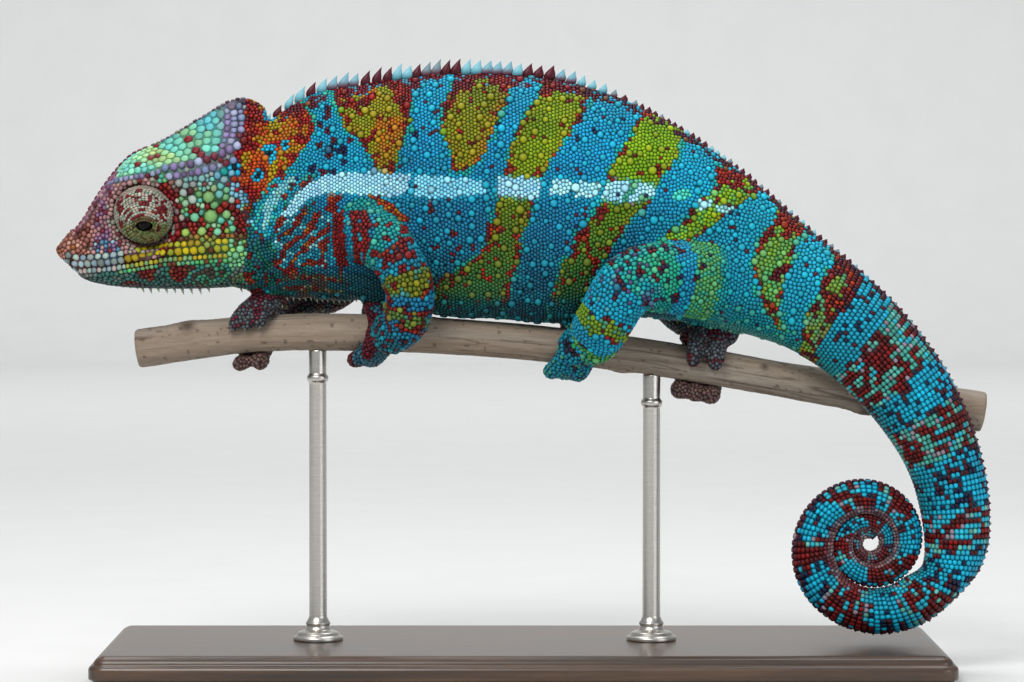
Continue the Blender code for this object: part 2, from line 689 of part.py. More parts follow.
def make_stand(parts, branch_room):
    shape = bmesh.new()
    bmesh.ops.create_cube(shape, size=1.0)
    size = Vector((BASE_LENGTH, BASE_DEPTH, BASE_HEIGHT))
    bmesh.ops.scale(shape, vec=size, verts=shape.verts)
    bmesh.ops.translate(shape, vec=(0, 0, BASE_HEIGHT / 2), verts=shape.verts)
    base = new_object("stand_base", mesh_of("stand_base", shape), "stand_wood", parts)
    bevel = base.modifiers.new("edges", "BEVEL")
    bevel.width = BASE_BEVEL * MM
    bevel.segments = 3
    for name, x in ROD_PLACES.items():
        _, y, axis_z, _ = branch_row_at_x(x)
        foot_z = BASE_HEIGHT + GAP
        profile = [
            (0.0, axis_z - foot_z),
            (ROD_RADIUS, axis_z - foot_z),
            (ROD_RADIUS, ROD_FLANGE_HEIGHT),
            (ROD_FLANGE_RADIUS, ROD_FLANGE_HEIGHT * 0.6),
            (ROD_FLANGE_RADIUS, 0.0),
            (0.0, 0.0),
        ]
        rod = turned(name, profile, ROD_SIDES, "stand_metal", parts)
        rod.location = Vector((x, y, foot_z)) * MM
        boolean(rod, "DIFFERENCE", branch_room)


def main():
    for obj in list(bpy.data.objects):
        bpy.data.objects.remove(obj)
    scene = bpy.context.scene.collection
    parts = bpy.data.collections.new("panther_chameleon")
    cutters = bpy.data.collections.new("cutters")
    scene.children.link(parts)
    scene.children.link(cutters)

    loft("perch_branch", branch_rings(), "bark", parts)
    branch_room = cutter(loft("branch_room", branch_rings(GAP), None, cutters))
    body_room = body_clearance(cutters)
    make_body(parts, cutters)
    make_head(parts, cutters)
    for key in LIMB_ROWS:
        make_limb(key, parts, cutters, branch_room, body_room)
    make_stand(parts, branch_room)


main()
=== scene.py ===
"""Looks for the panther chameleon on its cut branch and display stand.

Frame: metres, +Z up, the head to -X, the animal's left side to -Y. Tables and all the work on
shapes are in millimetres, and MM turns them into metres when a mesh is made.
"""

import math

import bmesh
import bpy
import numpy as np
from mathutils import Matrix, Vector
from mathutils.bvhtree import BVHTree


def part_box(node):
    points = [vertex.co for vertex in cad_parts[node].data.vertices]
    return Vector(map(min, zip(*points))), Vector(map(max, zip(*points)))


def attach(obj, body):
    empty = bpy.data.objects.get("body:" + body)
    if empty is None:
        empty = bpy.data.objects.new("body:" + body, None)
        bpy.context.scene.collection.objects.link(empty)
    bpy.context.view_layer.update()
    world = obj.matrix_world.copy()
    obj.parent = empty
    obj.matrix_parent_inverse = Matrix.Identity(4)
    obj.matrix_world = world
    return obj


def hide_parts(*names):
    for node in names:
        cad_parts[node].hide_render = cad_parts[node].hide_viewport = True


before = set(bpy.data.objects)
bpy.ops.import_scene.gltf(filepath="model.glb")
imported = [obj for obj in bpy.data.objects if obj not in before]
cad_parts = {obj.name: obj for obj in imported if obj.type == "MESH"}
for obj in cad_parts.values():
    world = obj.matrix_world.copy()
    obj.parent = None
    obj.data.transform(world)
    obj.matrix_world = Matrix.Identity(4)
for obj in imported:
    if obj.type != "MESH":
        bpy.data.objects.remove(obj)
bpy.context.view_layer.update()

MM = 0.001
RNG = np.random.default_rng(7)

# ------------------------------------------------------------------ the source's own tables
BRANCH_ROWS = [
    (-108, 0, 89.9, 5.4),
    (-76, 0, 93.9, 5.2),
    (-44, 0, 94.4, 5.2),
    (-6, 0, 92.2, 5.0),
    (30, 0, 88.3, 5.0),
    (54, 0.5, 84.4, 5.0),
    (78, 5.5, 80.1, 5.0),
    (100, 9, 76.5, 5.2),
    (130, 8, 71.7, 5.6),
]
# Dorsal x, z, ventral x, z, half width, sideways shift
BODY_ROWS = [
    (-80.6, 145.5, -87.0, 107.3, 8.0, 0),
    (-70.3, 154.1, -73.1, 105.6, 9.5, 0),
    (-59.0, 161.1, -60.0, 103.4, 10.8, 0),
    (-45.0, 163.9, -44.2, 102.9, 12.2, 0),
    (-29.0, 166.2, -26.0, 99.4, 14.4, 0),
    (-8.0, 167.0, -6.0, 98.0, 15.8, 0),
    (14.0, 164.4, 13.0, 96.8, 15.2, 0),
    (36.0, 155.9, 32.0, 98.7, 13.2, 0),
    (58.0, 141.9, 51.0, 96.1, 11.4, 0),
    (77.6, 125.5, 67.0, 92.4, 10.6, -1.5),
    (92.4, 113.1, 78.2, 87.5, 10.0, -4.5),
    (105.4, 100.5, 87.2, 81.1, 9.2, -6.5),
    (118.6, 82.5, 98.4, 69.5, 8.6, -7.0),
    (127.2, 61.9, 107.2, 55.9, 8.0, -6.0),
    (130.2, 41.9, 111.4, 41.3, 7.4, -5.0),
    (127.4, 28.3, 111.6, 30.1, 6.9, -4.5),
]
COIL_CENTRE, COIL_RADIUS = (96.6, 35.7), 20.7
COIL_START_DEG, COIL_TURN_DEG, COIL_STEP_DEG = -45.0, 1000.0, 18.0
COIL_SHRINK_PER_QUARTER, COIL_THICKNESS, COIL_HALF_WIDTH, COIL_SHIFT = 0.826, 0.68, 0.45, -4.5
TAIL_ROOT_S, TAIL_ROUND_LENGTH = 165.0, 55.0
TRUNK_WIDEST, TAIL_WIDEST = 0.42, 0.5
TRUNK_RIDGE, TAIL_RIDGE, BELLY_ROUND = 1.4, 1.0, 0.85
# x, then top z, crest z and half width, temple z and half width, jaw z and half width, bottom z
HEAD_ROWS = [
    (-130.6, 117.9, 117.4, 1.2, 116.7, 1.8, 115.9, 1.6, 115.1),
    (-128.0, 120.2, 119.3, 2.4, 117.4, 3.2, 114.1, 3.0, 112.7),
    (-123.0, 126.0, 124.1, 4.0, 119.3, 4.8, 112.9, 5.0, 109.3),
    (-117.0, 135.3, 132.9, 5.6, 122.5, 5.8, 113.1, 7.0, 107.7),
    (-110.0, 143.5, 139.1, 7.8, 125.5, 6.4, 113.9, 9.0, 106.9),
    (-101.0, 147.9, 140.1, 9.6, 126.5, 7.8, 115.1, 10.8, 106.6),
    (-91.0, 153.7, 141.9, 9.6, 127.1, 9.8, 115.9, 11.9, 106.6),
    (-82.0, 159.1, 145.1, 7.8, 127.5, 10.2, 115.9, 11.6, 106.9),
    (-76.0, 159.9, 148.5, 6.2, 127.9, 9.6, 115.3, 10.6, 106.5),
    (-70.0, 155.9, 149.5, 5.6, 127.9, 9.0, 114.9, 9.8, 106.1),
]
CHIN_WIDTH, CHIN_RISE = 0.62, 0.16
MOUTH_LINE = [(-136, 113.7), (-129, 113.7), (-124, 112.4), (-115, 113.1), (-99, 115.8), (-83, 116.9)]
EYE_CENTRE = (-105.4, 6.4, 127.7)
TURRET_RADIUS, GAZE_DOWN_DEG = 8.5, 24.0
EYEBALL_RADIUS = 2.9
# Half sizes of the turret's opening, and how far from the gaze its skin goes
OPEN_ALONG, OPEN_ACROSS, TURRET_ROOT_DEG = 2.35, 1.62, 112
# Midline x, y outward, z, then radius in the side view and across
LIMB_ROWS = {
    "fore_left": [
        (-50.0, 5.0, 125.0, 8.4, 5.0),
        (-44.0, 12.5, 123.0, 8.2, 6.0),
        (-35.8, 18.0, 116.5, 7.2, 6.4),
        (-31.4, 20.0, 107.5, 6.9, 6.2),
        (-32.4, 17.0, 98.9, 6.8, 5.8),
        (-37.2, 12.0, 94.1, 6.0, 4.8),
        (-39.2, 10.0, 93.1, 4.6, 3.8),
    ],
    "fore_right": [
        (-50.0, 5.0, 124.0, 8.0, 5.0),
        (-48.0, 12.5, 120.0, 7.6, 6.0),
        (-48.5, 18.0, 111.5, 6.4, 5.8),
        (-54.0, 17.5, 105.3, 5.6, 5.4),
        (-62.0, 11.5, 103.1, 4.8, 5.0),
        (-69.6, 5.2, 102.5, 3.8, 4.2),
    ],
    "hind_left": [
        (69.0, 2.0, 105.5, 8.6, 5.0),
        (60.0, 6.5, 107.1, 10.4, 6.6),
        (48.0, 12.5, 108.9, 10.4, 7.4),
        (35.0, 18.2, 110.1, 9.6, 7.6),
        (28.2, 20.6, 107.6, 8.6, 7.2),
        (22.4, 18.2, 98.3, 8.0, 6.6),
        (18.8, 12.8, 92.3, 7.4, 5.2),
        (16.6, 10.6, 91.1, 5.6, 4.2),
    ],
    "hind_right": [
        (69.0, 2.0, 105.5, 8.6, 5.0),
        (61.0, 7.5, 108.0, 9.8, 6.6),
        (52.5, 13.5, 110.6, 8.4, 7.0),
        (45.0, 18.0, 111.0, 7.2, 6.8),
        (41.0, 20.4, 107.2, 6.2, 6.2),
        (42.0, 19.8, 102.2, 5.6, 5.8),
        (45.4, 16.6, 98.4, 5.2, 5.4),
        (49.6, 12.0, 96.2, 4.8, 5.0),
        (51.4, 5.6, 93.3, 2.6, 3.4),
    ],
}
FEET = {
    "fore_left": (-38.4, 92, (5.6, 5.4, 3.8), (2, 166, 4.4, 2.9, -6.5), (3, -52, 3.2, 2.1, -2.5)),
    "fore_right": (-72.6, 8, (6.2, 5.4, 3.3), (2, 192, 5.0, 3.0, -4.0), (3, -64, 3.8, 2.4, -4.0)),
    "hind_left": (16.0, 84, (6.8, 6.0, 4.0), (3, 162, 3.8, 2.9, -4.5), (2, -48, 3.8, 1.8, -2.5)),
    "hind_right": (52.0, 8, (8.6, 5.6, 3.2), (3, 192, 4.4, 3.2, -4.0), (2, -76, 6.0, 3.0, -1.5)),
}
TOE_TAPER, GAP = 0.82, 0.3
ROD_PLACES = {"stand_rod_front": -57.5, "stand_rod_rear": 36.0}

# ------------------------------------------------------------------ markings, side view, mm
# Bands of the trunk: rows of z, front x, rear x, from the back down
BANDS = {
    "neck": [
        (158.5, -77.8, -61.5), (154.5, -77.9, -58.5), (152.2, -78.2, -58.0), (148.0, -79.2, -58.5),
        (144.7, -81.0, -60.5), (142.8, -82.5, -63.0), (138.5, -82.5, -65.5), (134.6, -79.2, -68.0),
        (131.5, -75.0, -70.0),
    ],
    "shoulder": [
        (164.3, -54.0, -30.5), (156.7, -52.4, -31.6), (152.5, -49.8, -32.8), (148.3, -46.2, -33.9),
        (144.1, -42.6, -34.4), (139.9, -41.2, -35.6), (137.0, -40.0, -36.7),
    ],
    "chest": [
        (166.8, -18.2, -2.5), (160.9, -20.4, -4.2), (154.7, -22.1, -7.0), (148.3, -21.6, -9.2),
        (144.1, -20.4, -10.9), (139.5, -19.9, -13.7),
    ],
    "belly": [
        (164.5, 5.9, 21.0), (159.5, 4.2, 18.8), (152.5, -0.3, 14.6), (145.5, -3.1, 9.2),
        (141.3, -4.2, 6.2), (135.7, -5.6, 3.9), (130.1, -7.6, 2.2), (124.5, -8.1, 0.8),
        (118.9, -9.8, -0.8), (114.1, -14.8, -2.5), (109.1, -23.2, -3.1), (103.5, -26.0, -4.2),
        (98.5, -24.4, -6.4),
    ],
    "loin": [
        (156.1, 33.3, 49.0), (153.9, 32.8, 47.3), (145.5, 27.7, 44.0), (138.2, 23.2, 38.4),
        (133.7, 21.6, 35.6), (130.1, 20.4, 34.2), (127.3, 18.8, 30.5), (120.3, 14.3, 25.8),
        (114.7, 10.9, 21.6), (109.1, 9.2, 18.8), (102.1, 8.1, 16.5), (97.0, 7.0, 15.0),
    ],
    "hip": [
        (136.0, 54.0, 67.5), (131.5, 49.6, 62.2), (127.3, 45.4, 55.7), (123.1, 41.7, 50.7),
        (118.6, 36.7, 43.4),
    ],
    "rump": [
        (125.3, 69.7, 79.2), (120.3, 65.2, 77.0), (114.1, 63.6, 74.8), (107.7, 64.7, 72.0),
        (102.1, 66.4, 71.4), (94.5, 70.3, 74.2),
    ],
    "root": [
        (113.6, 86.0, 96.0), (106.3, 82.0, 92.1), (100.7, 78.7, 88.2), (95.1, 77.3, 83.7),
        (88.9, 77.6, 80.9), (84.0, 78.0, 81.0),
    ],
}
# Pale stripe along the flank: x, z, half height, and the places where the blue parts it
STRIPE = [
    (-67.8, 119.4, 0.8), (-66.8, 123.4, 1.1), (-65.3, 127.2, 1.3), (-63.0, 130.6, 1.5), (-60.1, 133.3, 1.8),
    (-56.3, 135.2, 2.2), (-51.2, 136.3, 2.8), (-42.8, 136.0, 3.3), (-33.0, 135.4, 3.0),
    (-20.4, 134.9, 2.7), (-12.0, 134.9, 2.2), (-0.8, 134.9, 2.9), (7.6, 134.9, 2.2),
    (18.8, 134.3, 2.4), (28.6, 133.7, 3.0), (35.0, 133.7, 1.7),
]
STRIPE_FRONT = [  # the second line before it, on the neck
    (-71.9, 123.6, 0.9), (-70.6, 129.2, 1.2), (-68.4, 132.9, 1.4), (-65.6, 135.8, 1.2), (-62.6, 137.8, 0.7),
]
# The brow over the eye, x, z
BROW = [(-120, 133.0), (-116, 135.4), (-112.5, 136.9), (-109, 137.6), (-104, 138.3), (-100.5, 139.4),
        (-97, 141.2)]
# Where the head's own colours end: z, x
HEAD_EDGE = [(100, -76), (112, -77), (122, -76.5), (130, -77.0), (134, -79.5), (138, -82.3), (142, -82.3),
             (146, -79.6), (150, -78.4), (158, -77.2)]
STRIPE_GAPS = [(-31.6, 1.0), (-9.0, 1.4), (6.2, 1.2), (13.6, 1.4), (22.0, 0.9), (29.7, 0.9)]
TAIL_START = 176.0  # where the straight rows of the tail's scales begin
# Dark red rings of the tail, from and to along its midline
TAIL_RED = [
    (190, 205), (216, 229), (245, 256), (268, 279), (288, 301), (310, 317), (327, 336),
    (341, 349), (359, 371), (378, 386), (392, 399), (404, 420),
]


def smooth(x):
    x = np.clip(x, 0.0, 1.0)
    return x * x * (3 - 2 * x)


def unit(v):
    return v / np.maximum(np.linalg.norm(v, axis=-1, keepdims=True), 1e-9)


def noise(p, size, seed=0):
    """Smooth value noise from -1 to 1, the same each run."""
    q = np.asarray(p, float) / size + seed * 17.31
    base = np.floor(q).astype(np.int64)
    f = q - base
    f = f * f * (3 - 2 * f)
    total = np.zeros(len(q))
    for corner in range(8):
        step = np.array([corner & 1, corner >> 1 & 1, corner >> 2 & 1])
        c = base + step
        h = (c[:, 0] * 73856093) ^ (c[:, 1] * 19349663) ^ (c[:, 2] * 83492791) ^ (seed * 2654435761)
        h = (h ^ (h >> 13)) * 1274126177 & 0x7FFFFFFF
        value = (h & 0xFFFF) / 32767.5 - 1
        w = np.prod(np.where(step, f, 1 - f), axis=1)
        total += value * w
    return total


class Track:
    """Rows of numbers joined by a smooth curve, read by distance along its midline."""

    def __init__(self, rows, place):
        self.rows = np.array(rows, float)
        mids = place(self.rows)
        self.place = place
        self.knots = np.concatenate([[0], np.cumsum(np.linalg.norm(np.diff(mids, axis=0), axis=1))])
        self.length = self.knots[-1]
        n = len(self.rows)
        low, high = np.maximum(np.arange(n) - 1, 0), np.minimum(np.arange(n) + 1, n - 1)
        self.slopes = (self.rows[high] - self.rows[low]) / (self.knots[high] - self.knots[low])[:, None]

    def at(self, s):
        s = np.clip(np.asarray(s, float), 0, self.length)
        i = np.clip(np.searchsorted(self.knots, s, "right") - 1, 0, len(self.rows) - 2)
        span = (self.knots[i + 1] - self.knots[i])[..., None]
        t = (s - self.knots[i])[..., None] / span
        return (
            self.rows[i] * (1 + 2 * t) * (1 - t) ** 2
            + self.slopes[i] * span * t * (1 - t) ** 2
            + self.rows[i + 1] * (3 - 2 * t) * t**2
            + self.slopes[i + 1] * span * (t - 1) * t**2
        )

    def direction(self, s, step=0.5):
        s = np.asarray(s, float)
        return unit(self.place(self.at(s + step)) - self.place(self.at(s - step)))


def coil_rows():
    rows = []
    turned = 0.0
    while turned <= COIL_TURN_DEG:
        angle = math.radians(COIL_START_DEG - turned)
        radius = COIL_RADIUS * COIL_SHRINK_PER_QUARTER ** (turned / 90)
        thickness = COIL_THICKNESS * radius
        outer, inner = radius + thickness / 2, radius - thickness / 2
        c, w = math.cos(angle), math.sin(angle)
        rows.append((
            COIL_CENTRE[0] + outer * c, COIL_CENTRE[1] + outer * w,
            COIL_CENTRE[0] + inner * c, COIL_CENTRE[1] + inner * w,
            COIL_HALF_WIDTH * thickness, COIL_SHIFT,
        ))
        turned += COIL_STEP_DEG
    return rows


BODY = Track(
    BODY_ROWS + coil_rows(),
    lambda r: np.stack([(r[..., 0] + r[..., 2]) / 2, r[..., 5], (r[..., 1] + r[..., 3]) / 2], -1),
)
BRANCH = Track(BRANCH_ROWS, lambda r: r[..., :3])
HEAD = Track(HEAD_ROWS, lambda r: np.stack([r[..., 0], 0 * r[..., 0], 0 * r[..., 0]], -1))


def body_points(s, angle, grow=0.0):
    """Points of the body's surface; angle 0 is the back, and a quarter turn the left side."""
    row = BODY.at(s)
    top_x, top_z, low_x, low_z, half, shift = np.moveaxis(row, -1, 0)
    to_tail = np.clip((s - TAIL_ROOT_S) / TAIL_ROUND_LENGTH, 0, 1)
    widest = TRUNK_WIDEST + (TAIL_WIDEST - TRUNK_WIDEST) * to_tail
    ridge = TRUNK_RIDGE + (TAIL_RIDGE - TRUNK_RIDGE) * to_tail
    belly = BELLY_ROUND + (1 - BELLY_ROUND) * to_tail
    up = np.stack([top_x - low_x, 0 * top_x, top_z - low_z], -1)
    height = np.linalg.norm(up, axis=-1)
    up = up / height[..., None]
    c, w = np.cos(angle), np.sin(angle)
    reach = np.where(c > 0, (1 - widest) * height + grow, widest * height + grow)
    power = np.where(c > 0, ridge, belly)
    bulge = (half + grow) * np.abs(w) ** power * np.sign(w)
    middle = np.stack([low_x, shift, low_z], -1) + up * (widest * height)[..., None]
    out = middle + up * (c * reach)[..., None]
    out[..., 1] -= bulge
    return out


def head_points(s, u, grow=0.0):
    """Points of the head's surface; u runs 0 at the roof's middle to 5 under the chin."""
    row = HEAD.at(s)
    x, top, crest_z, crest, temple_z, temple, jaw_z, jaw, bottom = np.moveaxis(row, -1, 0)
    chin_z = bottom + CHIN_RISE * (jaw_z - bottom)
    zero = np.zeros_like(x)
    keys = np.stack([
        np.stack([-(crest + grow), crest_z + grow], -1),
        np.stack([zero, top + grow], -1),
        np.stack([crest + grow, crest_z + grow], -1),
        np.stack([temple + grow, temple_z], -1),
        np.stack([jaw + grow, jaw_z], -1),
        np.stack([CHIN_WIDTH * jaw + grow, chin_z - grow], -1),
        np.stack([zero, bottom - grow], -1),
        np.stack([-(CHIN_WIDTH * jaw + grow), chin_z - grow], -1),
    ], 0)
    side = np.where(u < 0, 1.0, -1.0)
    v = np.clip(np.abs(u), 0, 4.99999)
    i = np.floor(v).astype(int)
    t = (v - i)[..., None]
    flat = np.arange(i.size).reshape(i.shape)
    shaped = keys.reshape(8, -1, 2)
    k = [shaped[(i + j).ravel(), flat.ravel()].reshape(*i.shape, 2) for j in range(4)]
    yz = (
        k[1] * (1 + 2 * t) * (1 - t) ** 2
        + (k[2] - k[0]) / 2 * t * (1 - t) ** 2
        + k[2] * (3 - 2 * t) * t**2
        + (k[3] - k[1]) / 2 * (t - 1) * t**2
    )
    return np.stack([x, side * yz[..., 0], yz[..., 1]], -1)


def limb_points(track, s, angle, side, grow=0.0, out=(0, 1, 0), steps=0.5):
    row = track.at(s)
    along = track.direction(s, steps)
    out = np.broadcast_to(np.array(out, float), along.shape)
    out = unit(out - along * np.sum(out * along, -1, keepdims=True))
    flat = np.cross(along, out)
    p = row[..., :3] + flat * ((row[..., 3] + grow) * np.cos(angle))[..., None]
    p = p + out * ((row[..., 4] + grow) * np.sin(angle))[..., None]
    p[..., 1] *= side
    return p


def branch_s(x):
    s = np.linspace(0, BRANCH.length, 2000)
    return np.interp(x, BRANCH.at(s)[:, 0], s)


def round_branch(x, angle_deg, clearance, side):
    row = BRANCH.at(branch_s(x))
    reach, angle = row[3] + clearance, math.radians(angle_deg)
    return np.array([x, row[1] + side * reach * math.sin(angle), row[2] + reach * math.cos(angle)])


# ------------------------------------------------------------------ the bare shapes, as grids
class Sheet:
    """A closed tube of points: rings along it, with distance along and round it kept."""

    def __init__(self, part, points, along, share=None, foot=None):
        self.part, self.points, self.along = part, points, np.asarray(along, float)
        self.share = self.along / max(self.along[-1], 1e-6) if share is None else share
        steps = np.linalg.norm(np.roll(points, -1, axis=1) - points, axis=2)
        self.round = np.concatenate([np.zeros((len(points), 1)), np.cumsum(steps, axis=1)[:, :-1]], 1)
        self.foot = foot

    def add_to(self, verts, faces, info):
        start = sum(len(v) for v in verts)
        rows, sides = self.points.shape[:2]
        verts.append(self.points.reshape(-1, 3))
        for i in range(rows - 1):
            for j in range(sides):
                k = (j + 1) % sides
                faces.append((start + i * sides + j, start + i * sides + k,
                              start + (i + 1) * sides + k, start + (i + 1) * sides + j))
                info.append((self, i, j))
        for i in (0, rows - 1):
            ring = [start + i * sides + j for j in range(sides)]
            faces.append(tuple(ring if i == 0 else ring[::-1]))
            info.append((self, i, 0))


PARTS = ["body", "head", "fore_left", "fore_right", "hind_left", "hind_right"]
INSET = -0.35  # of the skin under the source's surface, for the scales to stand on
VOXEL = 0.87


def grid(track_length, rows, sides, first=0.0):
    s = np.linspace(first, track_length, rows)
    a = np.linspace(0, 2 * np.pi, sides, endpoint=False)
    return np.meshgrid(s, a, indexing="ij")


def body_grow(s):
    """How far the skin stands off the source's shape: inside it, but filling the coil's gaps."""
    return INSET + 0.62 * smooth((s - 288) / 22) + 0.12 * smooth((s - 370) / 30)


def body_skin(s, a):
    return body_points(s, a, body_grow(s))


def body_sheet(first, last, rows, sides):
    s, a = grid(last, rows, sides, first)
    return Sheet("body", body_skin(s, a), s[:, 0])


def head_sheet():
    s = np.linspace(0.0, HEAD.length - 2.0, 66)
    u = np.concatenate([np.linspace(0, 5, 48, endpoint=False), -np.linspace(5, 0, 48, endpoint=False)])
    s, u = np.meshgrid(s, u, indexing="ij")
    return Sheet("head", head_points(s, np.where(u == 0, 1e-9, u), INSET), s[:, 0])


def toe_track(place, palm_deg, toes, i, side):
    count, tip_deg, pitch, thickness, drift = toes
    spread = pitch * (i - (count - 1) / 2)
    root_x, tip_x = place + spread * 0.7, place + spread + drift
    rows = []
    for t in np.linspace(0, 1, 6):
        radius = thickness * (1 + (TOE_TAPER - 1) * t)
        x = root_x + (tip_x - root_x) * t
        c = round_branch(x, palm_deg + (tip_deg - palm_deg) * t, radius + GAP, side)
        rows.append((*c, radius, radius))
    ahead = unit(np.array(rows[-1][:3]) - np.array(rows[-2][:3]))
    end = np.array(rows[-1][:3]) + ahead * rows[-1][3] * 0.75
    rows.append((*end, radius * 0.62, radius * 0.62))
    end = end + ahead * rows[-1][3] * 0.6
    rows.append((*end, 0.4, 0.4))
    return Track(rows, lambda r: r[..., :3]), ahead


def limb_sheets(key):
    side = -1 if key.endswith("left") else 1
    track = Track(LIMB_ROWS[key], lambda r: r[..., :3])
    s, a = grid(track.length, 44, 32)
    made = [Sheet(key, limb_points(track, s, a, side, INSET), s[:, 0])]
    place, palm_deg, half_sizes, outer, inner = FEET[key]
    h = np.array(half_sizes) + INSET
    t, a = np.meshgrid(np.linspace(0.04, 0.96, 14) * np.pi, np.linspace(0, 2 * np.pi, 24, endpoint=False),
                       indexing="ij")
    palm = np.stack([-h[0] * np.cos(t), h[1] * np.sin(t) * np.cos(a), h[2] * np.sin(t) * np.sin(a)], -1)
    tilt = -side * math.radians(palm_deg)
    c, w = math.cos(tilt), math.sin(tilt)
    palm = palm @ np.array([[1, 0, 0], [0, c, -w], [0, w, c]]).T
    palm = palm + round_branch(place, palm_deg, half_sizes[2], side)
    made.append(Sheet(key, palm, np.linspace(0, 12, 14), np.full(14, 1.0), foot="palm"))
    claws = []
    for toes in (outer, inner):
        for i in range(toes[0]):
            toe, ahead = toe_track(place, palm_deg, toes, i, side)
            s, a = grid(toe.length, 22, 14)
            points = limb_points(toe, s, a, 1, -0.2, (1, 0, 0), 0.3)
            made.append(Sheet(key, points, s[:, 0], np.full(22, 1.1), foot="toe"))
            claws.append((toe, ahead))
    return made, claws, track


SHEETS = [body_sheet(1.0, 252.0, 150, 64), head_sheet()]
CLAWS, LIMBS = {}, {}
for key in LIMB_ROWS:
    sheets, CLAWS[key], LIMBS[key] = limb_sheets(key)
    SHEETS += sheets
TAIL_FROM = 238.0
TAIL_SHEET = body_sheet(TAIL_FROM, BODY.length, 270, 40)


def plain_mesh(name, verts, faces):
    mesh = bpy.data.meshes.new(name)
    mesh.from_pydata([tuple(p) for p in verts], [], faces)
    mesh.update()
    return mesh


def merged(sheets):
    """Vertices and faces of all the sheets, and where on its sheet each face is."""
    verts, faces, info = [], [], []
    for sheet in sheets:
        sheet.add_to(verts, faces, info)
    return np.concatenate(verts), faces, info


def tree_of(verts, faces, *_):
    return BVHTree.FromPolygons([tuple(p) for p in verts], faces)


RAW = merged(SHEETS + [TAIL_SHEET])
RAW_INFO = RAW[2]
RAW_TREE = tree_of(*RAW)
BODY_TREE = tree_of(*merged(SHEETS[:1]))


def remeshed(verts, faces, voxel):
    """One closed skin round all the shapes, as vertices and quads."""
    mesh = plain_mesh("skin_raw", verts, faces)
    shape = bmesh.new()
    shape.from_mesh(mesh)
    bmesh.ops.recalc_face_normals(shape, faces=shape.faces)
    shape.to_mesh(mesh)
    shape.free()
    obj = bpy.data.objects.new("skin_raw", mesh)
    bpy.context.scene.collection.objects.link(obj)
    modifier = obj.modifiers.new("voxels", "REMESH")
    modifier.mode = "VOXEL"
    modifier.voxel_size = voxel
    graph = bpy.context.evaluated_depsgraph_get()
    result = obj.evaluated_get(graph).to_mesh()
    out = np.empty(len(result.vertices) * 3)
    result.vertices.foreach_get("co", out)
    sizes = np.empty(len(result.polygons), int)
    result.polygons.foreach_get("loop_total", sizes)
    loops = np.empty(len(result.loops), int)
    result.loops.foreach_get("vertex_index", loops)
    starts = np.concatenate([[0], np.cumsum(sizes)[:-1]])
    quads = [tuple(loops[a : a + n]) for a, n in zip(starts, sizes)]
    obj.evaluated_get(graph).to_mesh_clear()
    bpy.data.objects.remove(obj)
    bpy.data.meshes.remove(mesh)
    return out.reshape(-1, 3), quads


def edges_of(faces):
    pairs = set()
    for f in faces:
        for a, b in zip(f, f[1:] + f[:1]):
            pairs.add((a, b) if a < b else (b, a))
    return np.array(sorted(pairs))


def relax(verts, edges, weight, times):
    """Moves each vertex towards the mean of its neighbours by its weight."""
    a, b = edges[:, 0], edges[:, 1]
    n = len(verts)
    count = np.bincount(a, minlength=n) + np.bincount(b, minlength=n)
    for _ in range(times):
        mean = np.stack([
            np.bincount(a, verts[b, k], n) + np.bincount(b, verts[a, k], n) for k in range(3)
        ], 1) / count[:, None]
        verts = verts + (mean - verts) * weight[:, None]
    return verts


def nearest(tree, points, reach=1e9):
    """Place, normal, face and distance of the surface point nearest to each point."""
    place, normal = np.zeros((len(points), 3)), np.zeros((len(points), 3))
    face, far = np.full(len(points), -1), np.full(len(points), 1e9)
    for i, p in enumerate(points):
        hit = tree.find_nearest(p, reach)
        if hit[0] is not None:
            place[i], normal[i], face[i], far[i] = hit[0], hit[1], hit[2], hit[3]
    return place, normal, face, far


def rooted(points, face):
    """Gives the root of each limb, where it leaves the body, the body's own labels."""
    ends = {"fore_left": 0.05, "fore_right": 0.06, "hind_left": 0.24, "hind_right": 0.2}
    loose = []
    for n, f in enumerate(face):
        sheet, i, _ = RAW_INFO[f]
        if sheet.part in ends and not sheet.foot and sheet.share[i] < ends[sheet.part]:
            loose.append(n)
    loose = np.array(loose, int)
    if len(loose):
        own = nearest(BODY_TREE, points[loose], 5.5)[2]
        found = own >= 0
        face[loose[found]] = own[found]
    return face


def about(points):
    """For points near the raw shapes: their part, distances along and round it, and its share."""
    face = rooted(points, nearest(RAW_TREE, points)[2])
    part, foot = (np.zeros(len(points), int) for _ in range(2))
    along, around, share, turn = (np.zeros(len(points)) for _ in range(4))
    axis = np.zeros((len(points), 3))
    for n, f in enumerate(face):
        sheet, i, j = RAW_INFO[f]
        i2 = min(i + 1, len(sheet.points) - 1)
        j2 = (j + 1) % sheet.points.shape[1]
        p00, p10, p01 = sheet.points[i, j], sheet.points[i2, j], sheet.points[i, j2]
        part[n] = PARTS.index(sheet.part)
        es, ea = p10 - p00, p01 - p00
        ls, la = np.dot(es, es) + 1e-9, np.dot(ea, ea) + 1e-9
        q = points[n] - p00
        t = min(max(np.dot(q, es) / ls, 0), 1)
        w = min(max(np.dot(q, ea) / la, 0), 1)
        along[n] = sheet.along[i] + (sheet.along[i2] - sheet.along[i]) * t
        around[n] = sheet.round[i, j] + math.sqrt(la) * w
        share[n] = sheet.share[i] + (sheet.share[i2] - sheet.share[i]) * t
        turn[n] = (j + w) / sheet.points.shape[1]
        foot[n] = {None: 0, "palm": 1, "toe": 2}[sheet.foot]
        axis[n] = es
    return dict(part=part, along=along, round=around, share=share, turn=turn, foot=foot, axis=unit(axis))


